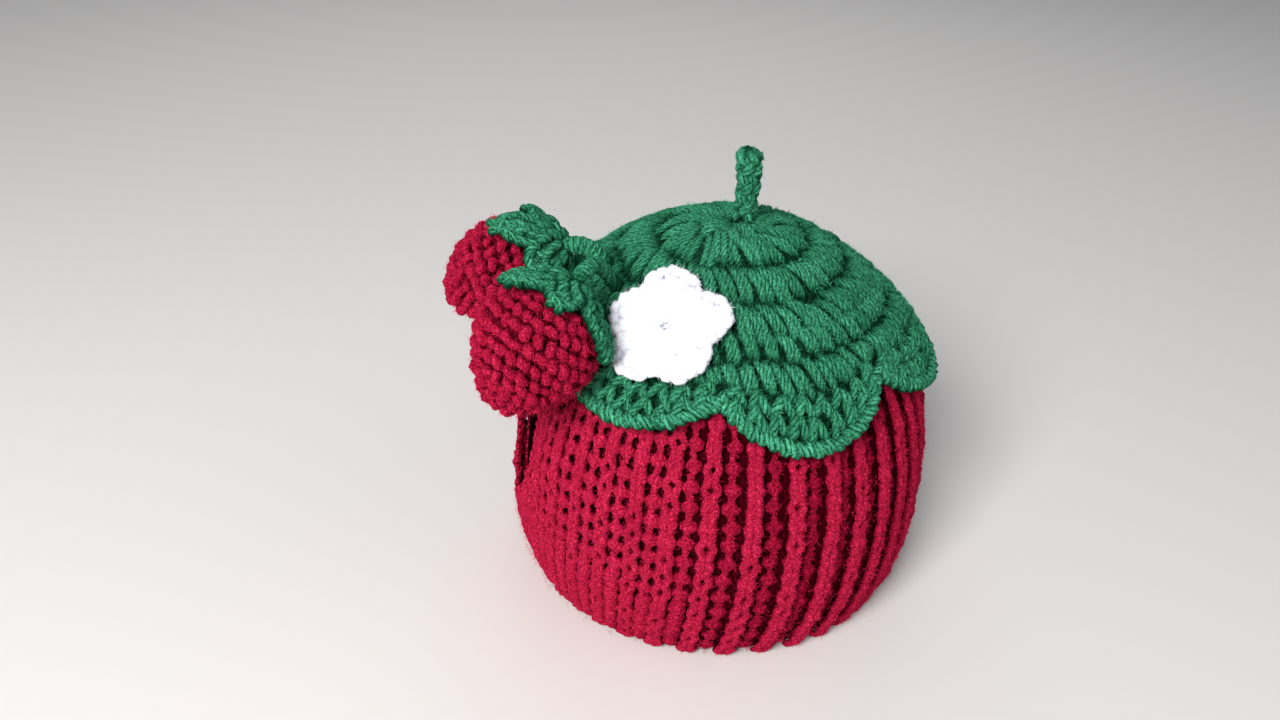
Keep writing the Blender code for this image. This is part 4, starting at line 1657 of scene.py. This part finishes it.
@dataclass(frozen=True)
class Stem(Wall):
    """The stem on the crown: a narrow tube of slanted stitches with a spread foot."""

    offset: float = 0.0040
    height: float = 0.0280
    radius: float = 0.0049
    foot_radius: float = 0.0058
    lean: float = 0.0010
    columns: int = 5
    rows: int = 7
    pitch: float = 0.0039
    first_row: float = 0.0036
    tip_gap: float = 0.0012
    sink: float = 0.0019
    knot_leg: Leg = Leg(
        (-0.0026, 0.0024), (0.0024, -0.0025), bow=0.0003, rise=0.0007, foot_dive=0.0008,
        head_dive=0.0009, radius=0.00190, narrowing=0.25, stations=8
    )

    @cached_property
    def foot(self) -> float:
        """The height of the stem's foot on the cap."""
        return float(PROFILE.trace[1][0]) + CAP_TOP

    def place(self, around: Array, along: Array, lift: Array) -> Array:
        """Places points off the stem's side.

        The radius is R sqrt(1 - s^2) over the rounded shoulder and spreads by a falling
        exponential at the foot. The middle line leans by a half sine.

        Args:
            around: bearings.
            along: depths under the tip.
            lift: distances off the side.

        Returns:
            The places.
        """
        around, along, lift = np.broadcast_arrays(around, along, lift)
        rise = 1 - np.clip(along / self.height, 0, 1)
        shoulder = np.sqrt(np.clip(1 - np.clip((rise - 0.82) / 0.18, 0, 1) ** 2, 0.01, 1))
        spread = (self.foot_radius - self.radius) * np.exp(-rise * 12)
        reach = self.radius * shoulder + spread + lift
        sideways = self.offset + self.lean * np.sin(math.pi * rise)
        height = self.foot + self.height * rise
        flat = [sideways + reach * np.sin(around), -reach * np.cos(around), height]
        return np.stack(flat, axis=-1) + AXIS

    def build(self) -> list[Object]:
        """Builds the stem's core and its stitches.

        Returns:
            The pieces.
        """
        turns = spaced(20)
        depth = np.linspace(self.tip_gap, self.height, 14)
        rings = np.stack([self.place(turns, at, -self.sink) for at in depth])
        foot = rings[-1].mean(axis=0)
        tip = np.array([foot[0], foot[1], self.foot + self.height - self.tip_gap])
        core = skin_object("stem_core", rings, tip, foot, GREEN.cloth, pitch=(3.0, 2.8))
        row, column = np.meshgrid(np.arange(self.rows), np.arange(self.columns), indexing="ij")
        around = FULL * (column + 0.25 + 0.5 * (row % 2)) / self.columns
        depths = self.first_row + self.pitch * row
        stitches = self.scattered(around, depths, -self.sink - 0.00010 * row, 51)
        slants = np.where(row.ravel()[:, None] % 2, 1.0, -1.0)
        strands = self.lay(stitches, self.knot_leg, mirror=slants)
        knot = strands.to_object("stem_stitches", GREEN.strand, sides=8)
        loose = fuzz_object("stem_fuzz", strands, 500, GREEN.fuzz, 104)
        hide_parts("stem")
        return [core, knot, loose]


# --- The blossom ---


def area_within(edge: Array) -> float:
    """Returns the area inside an edge, half a full turn times its mean square distance."""
    return float(0.5 * FULL * (edge**2).mean())


@dataclass(frozen=True)
class Petal:
    """One petal as a circle: its direction from the middle, its distance and its radius."""

    turn: float
    reach: float
    radius: float


@dataclass(frozen=True)
class Blossom(Wall):
    """The white five-petalled blossom, bent over the cap's shoulder."""

    cap: LeafCap
    bearing: float = math.radians(-34.7)
    radius_on_cap: float = 0.0535
    petals: tuple[Petal, ...] = (
        Petal(math.radians(-103.0), 0.0118, 0.0090),
        Petal(math.radians(-26.0), 0.0112, 0.0085),
        Petal(math.radians(47.0), 0.0110, 0.0087),
        Petal(math.radians(118.0), 0.0124, 0.0082),
        Petal(math.radians(178.0), 0.0112, 0.0085),
    )
    least: float = 0.0104
    bumps: int = 18
    bump_depth: float = 0.0002
    thickness: float = 0.0046
    seat: float = 0.0008
    slits: tuple[Two, ...] = (
        (math.radians(-118.0), 0.0125), (math.radians(-90.0), 0.0130), (math.radians(56.0), 0.0108),
    )
    strand_count: int = 24
    ring_count: int = 9
    ring_reach: float = 0.0031
    rim_leg: Leg = Leg(
        (0.0, -0.0023), (0.0, 0.0023), bow=-0.0010, rise=0.0011, foot_dive=0.0010, head_dive=0.0010,
        radius=0.00215, stations=8
    )
    ring_leg: Leg = Leg(
        (0.0, -0.0016), (0.0, 0.0030), rise=0.0003, foot_dive=0.0010, radius=0.0012, narrowing=0.2,
        stations=6
    )

    def outline(self, turn: Array) -> Array:
        """Works out the edge: the furthest petal's circle, and a cosine on the rim.

        Args:
            turn: angles about the middle.

        Returns:
            The edge's distances from the middle.
        """
        rims = []
        for petal in self.petals:
            off = turn - petal.turn
            side = petal.reach * np.sin(off)
            chord = np.sqrt(np.clip(petal.radius**2 - side**2, 0, None))
            crossed = (chord > 0) & (np.cos(off) > 0)
            rims.append(np.where(crossed, petal.reach * np.cos(off) + chord, 0.0))
        rim = np.maximum(np.max(rims, axis=0), self.least)
        return rim + self.bump_depth * np.cos(self.bumps * turn)

    def parted(self, turn: Array, reach: Array) -> Array:
        """Bends strands aside round the slits between them.

        Args:
            turn: their angles about the middle.
            reach: their distances from it.

        Returns:
            The angles, bent.
        """
        for at, far in self.slits:
            off = wrapped(turn - at)
            near = np.exp(-((off * far / 0.0020) ** 2) - ((reach - far) / 0.0018) ** 2)
            turn = turn + 0.0012 / far * np.sign(off) * near
        return turn

    def place(self, around: Array, along: Array, lift: Array) -> Array:
        """Places points off the upper face.

        Args:
            around: turns about the middle.
            along: distances from it.
            lift: distances off the face.

        Returns:
            The places.
        """
        around, along, lift = np.broadcast_arrays(around, along, lift)
        arc = PROFILE.arc_at_radius(self.radius_on_cap) - along * np.sin(around)
        bearing = self.bearing + along * np.cos(around) / PROFILE.radius_at(arc)
        return self.cap.place(bearing, arc, self.seat + self.thickness + lift)

    def petal_strands(self) -> Strands:
        """Lays the petals' rays.

        Returns:
            Strands that fan from near the middle to the rim.
        """
        rng = np.random.default_rng(61)
        count = self.strand_count
        way = np.linspace(0, 1, 9)[None]
        turn = spaced(count, rng.normal(0, 0.08, count))[:, None] + 0 * way
        reach = self.outline(turn) * (0.16 + 0.70 * way)
        turn = self.parted(turn, reach)
        lift = -0.0026 + 0.0008 * np.sin(math.pi * way) - 0.0008 * np.abs(2 * way - 1) ** 3
        lift = lift + rng.normal(0, 0.00012, (count, 1))
        radius = (0.00150 + 0.00190 * way) * rng.normal(1, 0.04, (count, 1))
        tint = tints(rng, count, spread=0.2)
        return Strands(self.place(-turn, reach, lift), self.outward(-turn, reach), radius, tint)

    def rim_strands(self) -> Strands:
        """Lays the bumps on the rim.

        Returns:
            Short plump strands that bow out over the outline.
        """
        turn = np.linspace(0, FULL, 900)
        route = Route(self, -turn, self.outline(turn) - 0.0016)
        return route.rope(self.rim_leg, 0.0041, -0.0021, 65, turned=0.5 * math.pi)

    def ring_strands(self) -> Strands:
        """Returns the ring of strands round the blossom's middle."""
        stitches = self.scattered(spaced(self.ring_count), self.ring_reach, -0.0014, 66)
        return self.lay(stitches, self.ring_leg)

    def build(self) -> list[Object]:
        """Returns:
            The pieces.
        """
        turn = -spaced(150)
        edge = self.outline(-turn)
        top, under = 0.42, 1.0
        rows = [(way, top) for way in np.linspace(0.1, 0.93, 10)] + [(0.96, 0.7)]
        rows += [(way, under) for way in np.linspace(0.93, 0.1, 10)]
        rings = np.stack([self.place(turn, way * edge, -deep * self.thickness) for way, deep in rows])
        poles = [self.place(0.0, 0.0, -deep * self.thickness) for deep in (0.9, under)]
        cloth = skin_object("blossom_cloth", rings, *poles, WHITE.cloth, pitch=(12.0, 4.0))
        rims = self.rim_strands()
        parts = {
            "petal_stitches": self.petal_strands(),
            "petal_rims": rims,
            "blossom_ring": self.ring_strands(),
        }
        pieces = [part.to_object(name, WHITE.strand, sides=8) for name, part in parts.items()]
        pieces.append(fuzz_object("blossom_fuzz", rims, 900, WHITE.fuzz, 105))
        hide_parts("blossom")
        return [cloth, *pieces]


# --- The berries ---


@dataclass(frozen=True)
class Leaf:
    """One leaf of a calyx: its turn in degrees, its reach, and how far its tip curls away."""

    degrees: float
    reach: float
    curl: float

    @property
    def turn(self) -> float:
        """The leaf's turn about the pole."""
        return math.radians(self.degrees)


@dataclass(frozen=True)
class Berry(Wall):
    """A stuffed berry in small staggered stitches, placed by its middle and its pole."""

    name: str
    centre: Three
    pole: Three
    length: float
    width: float
    seed: int
    power: float = 0.62
    skew: float = 0.78
    pitch_around: float = 0.0050
    pitch_along: float = 0.0051
    light: float = 0.82
    # Painted shade on the thin links, which lie deep between the bumps.
    painted_link_shade: float = 0.24
    fill: float = 0.85
    bump: Leg = Leg(
        (-0.0020, -0.0013), (0.0020, 0.0013), bow=0.0004, rise=0.0012, foot_dive=0.0008,
        radius=0.00188, narrowing=0.30
    )
    link: Leg = Leg(
        (0.0024, 0.0006), (0.0012, 0.0044), rise=0.0003, foot_dive=0.0008, head_dive=0.0010,
        radius=0.00130, narrowing=0.30, stations=5
    )

    @cached_property
    def axes(self) -> tuple[Array, Array, Array]:
        """The berry's own axes.

        Returns:
            The pole's direction, the under side's and the third axis.
        """
        pole = unit(np.array(self.pole))
        down = np.array([0.0, 0.0, -1.0])
        down = unit(down - down.dot(pole) * pole)
        return pole, down, np.cross(pole, down)

    @cached_property
    def trace(self) -> tuple[Array, Array, Array]:
        """The side: radius w/2 sin(pi t^skew)^power at the depth l t, from the pole to the tip.

        Returns:
            Radii, depths and arcs.
        """
        step = 0.5 - 0.5 * np.cos(np.linspace(0, math.pi, PROFILE.steps))
        radius = 0.5 * self.width * np.sin(math.pi * step**self.skew).clip(0, 1) ** self.power
        depth = self.length * step
        return radius, depth, travelled(np.hypot(np.diff(radius), np.diff(depth)))

    def place(self, around: Array, along: Array, lift: Array) -> Array:
        """Places points off the berry's side.

        Args:
            around: turns about the pole.
            along: arcs from it.
            lift: distances off the side.

        Returns:
            The places.
        """
        turn, arc, lift = np.broadcast_arrays(around, along, lift)
        radii, depths, arcs = self.trace
        out, back = np.gradient(depths, arcs), np.gradient(-radii, arcs)
        radius = np.interp(arc, arcs, radii) + lift * np.interp(arc, arcs, out)
        depth = np.interp(arc, arcs, depths) + lift * np.interp(arc, arcs, back)
        pole, under, side = self.axes
        spoke = np.cos(turn)[..., None] * under + np.sin(turn)[..., None] * side
        along_pole = (0.5 * self.length - depth)[..., None] * pole
        return np.array(self.centre) + AXIS + along_pole + radius[..., None] * spoke

    def stitches(self) -> tuple[Strands, Strands]:
        """Lays the berry's stitches in staggered rounds.

        Returns:
            The bumps, and the thin strands between them.
        """
        radii, _, arcs = self.trace
        around, along = [], []
        for number, row in enumerate(np.arange(0.0022, arcs[-1] - 0.0016, self.pitch_along)):
            girth = FULL * np.interp(row, arcs, radii)
            count = max(4, int(round(girth / self.pitch_around)))
            around.append(spaced(count, 0.5 * number))
            along.append(np.full(count, row))
        around, along = np.concatenate(around), np.concatenate(along)
        stitches = self.scattered(around, along, -0.0014, self.seed)
        rng = np.random.default_rng(self.seed + 1)
        stitches.turn = stitches.turn + rng.normal(0, 0.30, len(stitches.turn))
        stitches.scale = stitches.scale * rng.normal(1.0, 0.07, len(stitches.turn))
        return self.lay(stitches, self.bump), self.lay(stitches, self.link)

    def build(self) -> list[Object]:
        """Builds the stuffed core and its stitches.

        Returns:
            The pieces.
        """
        turns = spaced(40)
        whole = self.trace[2][-1]
        arcs = np.linspace(0, whole, 26)[1:-1]
        rings = np.stack([self.place(turns, arc, -0.0024) for arc in arcs])
        inset = 0.0023 * unit(np.array(self.pole))
        poles = [self.place(0.0, 0.0, 0.0) - inset, self.place(0.0, whole, 0.0) + inset]
        core = skin_object(f"berry_core_{self.name}", rings, *poles, RED.cloth, pitch=(13.0, 6.0))
        bumps, links = self.stitches()
        knit = bumps.to_object(f"berry_stitches_{self.name}", RED.strand, sides=8, painted_depth_shade=self.light)
        tied = links.to_object(f"berry_links_{self.name}", RED.strand, painted_depth_shade=self.painted_link_shade)
        loose = fuzz_object(f"berry_fuzz_{self.name}", bumps, 4500, RED.fuzz, self.seed + 20)
        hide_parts(f"berry_{self.name}")
        return [core, knit, tied, loose]


@dataclass(frozen=True)
class Calyx(Wall):
    """The star of five leaves on a berry's pole, each worked like an ear of wheat."""

    berry: Berry
    leaves: tuple[Leaf, ...]
    core: float = 0.0085
    thickness: float = 0.0024
    seat: float = 0.0008
    half_width: float = math.radians(40.0)
    edge_leg: Leg = Leg(
        (-0.0031, -0.0005), (0.0031, 0.0005), bow=0.0002, rise=0.0005, foot_dive=0.0006,
        head_dive=0.0008, radius=0.00185, narrowing=0.22, stations=8
    )
    core_leg: Leg = Leg((-0.0012, -0.0026), (0.0012, 0.0028), foot_dive=0.0004, radius=0.00195)

    def star(self, turn: Array) -> tuple[Array, Array]:
        """Works out the star: core + (reach - core) cos^1.5 of the furthest leaf.

        Args:
            turn: angles about the pole.

        Returns:
            The edge's distances from the pole and how far it curls away.
        """
        beyond, curls = [], []
        for leaf in self.leaves:
            off = wrapped(turn - leaf.turn)
            fullness = np.cos(0.5 * math.pi * np.clip(off / self.half_width, -1, 1)).clip(0, 1)
            beyond.append((leaf.reach - self.core) * fullness**1.5)
            curls.append(leaf.curl * fullness)
        return self.core + np.max(beyond, axis=0), np.max(curls, axis=0)

    def place(self, around: Array, along: Array, lift: Array) -> Array:
        """Places points off the upper face.

        Args:
            around: turns about the pole.
            along: distances from it.
            lift: distances off the face.

        Returns:
            The places.
        """
        turn, reach, lift = np.broadcast_arrays(np.asarray(around, float), along, lift)
        edge, curl = self.star(turn)
        way = np.clip(reach / edge, 0, 1.1)
        return self.berry.place(turn, reach, self.seat + self.thickness + curl * way**2 + lift)

    def leaf_strands(self) -> Strands:
        """Lays the leaves.

        Returns:
            Herringbone pairs from the core to the tip, over each other.
        """
        parts = []
        for number, leaf in enumerate(self.leaves):
            rows = np.arange(self.core * 0.55, leaf.reach - 0.0006, 0.0036)
            way = np.clip((leaf.reach - rows) / (leaf.reach - 0.5 * self.core), 0.25, 1)
            for side in (-1.0, 1.0):
                stitches = self.scattered(leaf.turn, rows, -0.0006, 71 + number)
                leg = Leg((side * 0.0005, -0.0028), (side * 0.0031, 0.0027), bow=-side * 0.0006,
                          rise=0.0009, foot_dive=0.0005, head_dive=0.0010, radius=0.00205,
                          narrowing=0.22, stations=8)
                stitches.scale = stitches.scale * (0.80 + 0.36 * way)
                stitches.brightened(0.45 * (1 - way))
                parts.append(self.lay(stitches, leg))
        return Strands.join(parts)

    def edge_strands(self) -> Strands:
        """Lays the plump strands that follow the star's outline.

        Returns:
            The strands.
        """
        turns = np.linspace(0, FULL, 700)
        route = Route(self, turns, self.star(turns)[0] - 0.0012)
        return route.rope(self.edge_leg, 0.0033, 0.0, 86, lighter=0.45)

    def core_strands(self) -> Strands:
        """Lays two rings of strands about the pole.

        Returns:
            The strands.
        """
        parts = []
        for count, reach, lift, size in ((8, 0.0050, 0.0020, 1.25), (12, 0.0090, 0.0010, 1.15)):
            stitches = self.scattered(spaced(count, 0.3), reach, lift, 81 + count, size)
            parts.append(self.lay(stitches, self.core_leg))
        return Strands.join(parts)

    def build(self) -> list[Object]:
        """Returns:
            The pieces.
        """
        turns = spaced(100)
        edge, _ = self.star(turns)
        top, under = -0.0012, -self.thickness
        rows = [(way, top) for way in np.linspace(0.12, 0.90, 8)]
        rows += [(way, under) for way in np.linspace(0.90, 0.12, 8)]
        rings = np.stack([self.place(turns, way * edge, lift) for way, lift in rows])
        poles = [self.place(0.0, 0.0, lift) for lift in (top, under)]
        name = self.berry.name
        cloth = skin_object(f"calyx_cloth_{name}", rings, *poles, GREEN.cloth, pitch=(9.0, 3.0))
        leaves = self.leaf_strands()
        pieces = [
            leaves.to_object(f"calyx_leaves_{name}", GREEN.strand, sides=8),
            self.core_strands().to_object(f"calyx_ring_{name}", GREEN.strand),
            self.edge_strands().to_object(f"calyx_edge_{name}", GREEN.strand),
            fuzz_object(f"calyx_fuzz_{name}", leaves, 700, GREEN.fuzz, 110),
        ]
        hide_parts(f"calyx_{name}")
        area_within(edge)
        return [cloth, *pieces]


@dataclass(frozen=True)
class Stalk:
    """The short twisted cord from a calyx to the cap, on a cubic between their two normals."""

    berry: Berry
    bearing: float
    anchor_radius: float
    radius: float
    strands: int = 4
    turns: float = 2.2
    stations: int = 48
    start_lift: float = 0.0036
    yarn_share: float = 0.56

    def build(self) -> list[Object]:
        """Builds the stalk's strands, each a helix about the cubic.

        Returns:
            The cord.
        """
        pole = self.berry.axes[0]
        start = self.berry.place(0.0, 0.0, self.start_lift)
        arc = PROFILE.arc_at_radius(self.anchor_radius)
        end = PROFILE.place(self.bearing, arc, CAP_TOP)
        normal = PROFILE.outward(np.array(self.bearing), np.array(arc))
        pull = 0.5 * np.linalg.norm(end - start)
        t = np.linspace(0, 1, self.stations)[:, None]
        controls = (start, start + pull * pole, end + pull * normal, end)
        weights = ((1 - t) ** 3, 3 * t * (1 - t) ** 2, 3 * t**2 * (1 - t), t**3)
        path = sum(weight * control for weight, control in zip(weights, controls))
        along = unit(np.gradient(path, axis=0))
        side = unit(np.cross(along, [0.0, 1.0, 0.2]))
        other = np.cross(along, side)
        yarn = self.yarn_share * self.radius
        angle = FULL * (self.turns * t[:, 0][None] + np.arange(self.strands)[:, None] / self.strands)
        spoke = np.cos(angle)[..., None] * side + np.sin(angle)[..., None] * other
        strands = Strands(
            path + (self.radius - yarn) * spoke, spoke, np.full(angle.shape, yarn),
            np.linspace(0.3, 0.7, self.strands),
        )
        cord = strands.to_object(f"stalk_cord_{self.berry.name}", GREEN.strand, sides=10)
        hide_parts(f"stalk_{self.berry.name}")
        return [cord]


# --- Light, floor and camera ---


@dataclass(frozen=True)
class SoftLight:
    """A square soft light that faces the cosy's middle."""

    name: str
    place: Three
    size: float
    power: float
    colour: Three
    aim: Three = (0.0, 0.0, 0.08)

    def build(self) -> None:
        """Makes the light."""
        data = bpy.data.lights.new(self.name, "AREA")
        data.shape, data.size, data.energy, data.color = "SQUARE", self.size, self.power, self.colour
        light = bpy.data.objects.new(self.name, data)
        light.location = self.place
        towards = Vector(self.aim) - Vector(self.place)
        light.rotation_euler = towards.to_track_quat("-Z", "Y").to_euler()
        bpy.context.scene.collection.objects.link(light)


@dataclass(frozen=True)
class Studio:
    """A pale floor, soft lights and the camera."""

    camera_place: Three = (-0.0906, -0.3818, 0.3223)
    heading: float = math.radians(10.0)
    pitch: float = math.radians(30.6)
    roll: float = math.radians(2.06)
    lens: float = 30.94
    sensor: float = 36.0
    clip: Two = (0.01, 20.0)
    lights: tuple[SoftLight, ...] = (
        SoftLight("window", (-0.64, -0.90, 0.90), 0.55, 26.0, (1.0, 0.98, 0.97)),
        SoftLight("fill", (0.95, -0.45, 0.80), 1.0, 1.6, (0.93, 0.96, 1.0)),
        SoftLight("behind", (0.10, 0.95, 0.90), 0.9, 2.5, (1.0, 1.0, 1.0)),
    )
    room_colour: Four = (0.80, 0.83, 0.88, 1.0)
    room_light: float = 0.32
    floor_colour: Four = (0.70, 0.68, 0.66, 1.0)
    floor_roughness: float = 0.7
    floor_reach: float = 6.0

    def camera(self) -> None:
        """Makes the camera: it looks along its heading, tipped down, its right side tipped up."""
        forward = Vector((
            math.sin(self.heading) * math.cos(self.pitch),
            math.cos(self.heading) * math.cos(self.pitch),
            -math.sin(self.pitch),
        ))
        right = Vector((math.cos(self.heading), -math.sin(self.heading), 0.0))
        down = forward.cross(right)
        level_x = math.cos(self.roll) * right - math.sin(self.roll) * down
        level_y = -(math.sin(self.roll) * right + math.cos(self.roll) * down)
        turn = Matrix((level_x, level_y, -forward)).transposed()
        data = bpy.data.cameras.new("camera")
        data.lens, data.sensor_width = self.lens, self.sensor
        data.clip_start, data.clip_end = self.clip
        camera = bpy.data.objects.new("camera", data)
        camera.matrix_world = Matrix.Translation(Vector(self.camera_place)) @ turn.to_4x4()
        bpy.context.scene.collection.objects.link(camera)
        bpy.context.scene.camera = camera

    def room(self) -> None:
        """Makes the even light of the room."""
        world = bpy.data.worlds.new("room")
        world.use_nodes = True
        ground = world.node_tree.nodes["Background"]
        ground.inputs["Color"].default_value = self.room_colour
        ground.inputs["Strength"].default_value = self.room_light
        bpy.context.scene.world = world

    def floor(self) -> None:
        """Makes the floor, a square about the origin."""
        mesh = bpy.data.meshes.new("floor")
        reach = self.floor_reach
        corners = [(-reach, -reach, 0), (reach, -reach, 0), (reach, reach, 0), (-reach, reach, 0)]
        mesh.from_pydata(corners, [], [(0, 1, 2, 3)])
        material = bpy.data.materials.new("pale_floor")
        material.use_nodes = True
        shader = material.node_tree.nodes["Principled BSDF"]
        shader.inputs["Base Color"].default_value = self.floor_colour
        shader.inputs["Roughness"].default_value = self.floor_roughness
        mesh.materials.append(material)
        floor = bpy.data.objects.new("floor", mesh)
        bpy.context.scene.collection.objects.link(floor)

    def build(self) -> None:
        """Makes the camera, the lights, the room and the floor."""
        self.camera()
        bpy.context.scene.view_settings.view_transform = "Standard"
        for light in self.lights:
            light.build()
        self.room()
        self.floor()


# --- The whole cosy ---


FRONT_BERRY = Berry("front", (-0.0822, -0.0476, 0.1268), (0.560, 0.220, 0.800), 0.0470, 0.0440, 91)
BACK_BERRY = Berry("back", (-0.0900, 0.0045, 0.1320), (0.836, -0.213, 0.480), 0.0460, 0.0410, 92)
FRONT_LEAVES = (
    Leaf(305.0, 0.0255, 0.0015),
    Leaf(32.0, 0.0200, 0.0015),
    Leaf(104.0, 0.0165, 0.0030),
    Leaf(174.0, 0.0210, 0.0035),
    Leaf(229.0, 0.0172, 0.0025),
)
BACK_LEAVES = (
    Leaf(30.0, 0.0150, 0.0015),
    Leaf(102.0, 0.0175, 0.0030),
    Leaf(157.0, 0.0165, 0.0030),
    Leaf(208.0, 0.0235, 0.0035),
    Leaf(255.0, 0.0185, 0.0035),
)


def main() -> None:
    """Builds the cosy piece by piece, and then the studio."""
    logging.basicConfig(level=logging.INFO, format="%(name)s: %(message)s")
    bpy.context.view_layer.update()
    cap = LeafCap()
    plan = (
        (RibbedCover(), Slot.RED),
        (cap, Slot.GREEN),
        (Stem(), Slot.GREEN),
        (Blossom(cap), Slot.WHITE),
        (FRONT_BERRY, Slot.RED),
        (Calyx(FRONT_BERRY, FRONT_LEAVES), Slot.GREEN),
        (Stalk(FRONT_BERRY, math.radians(-66.0), 0.0480, 0.0029), Slot.GREEN),
        (BACK_BERRY, Slot.RED),
        (Calyx(BACK_BERRY, BACK_LEAVES), Slot.GREEN),
        (Stalk(BACK_BERRY, math.radians(-84.0), 0.0460, 0.0035), Slot.GREEN),
    )
    for part, slot in plan:
        for piece in part.build():
            LOG.info("%s: %d faces", piece.name, len(piece.data.polygons))
    Studio().build()


if __name__ == "__main__":
    main()
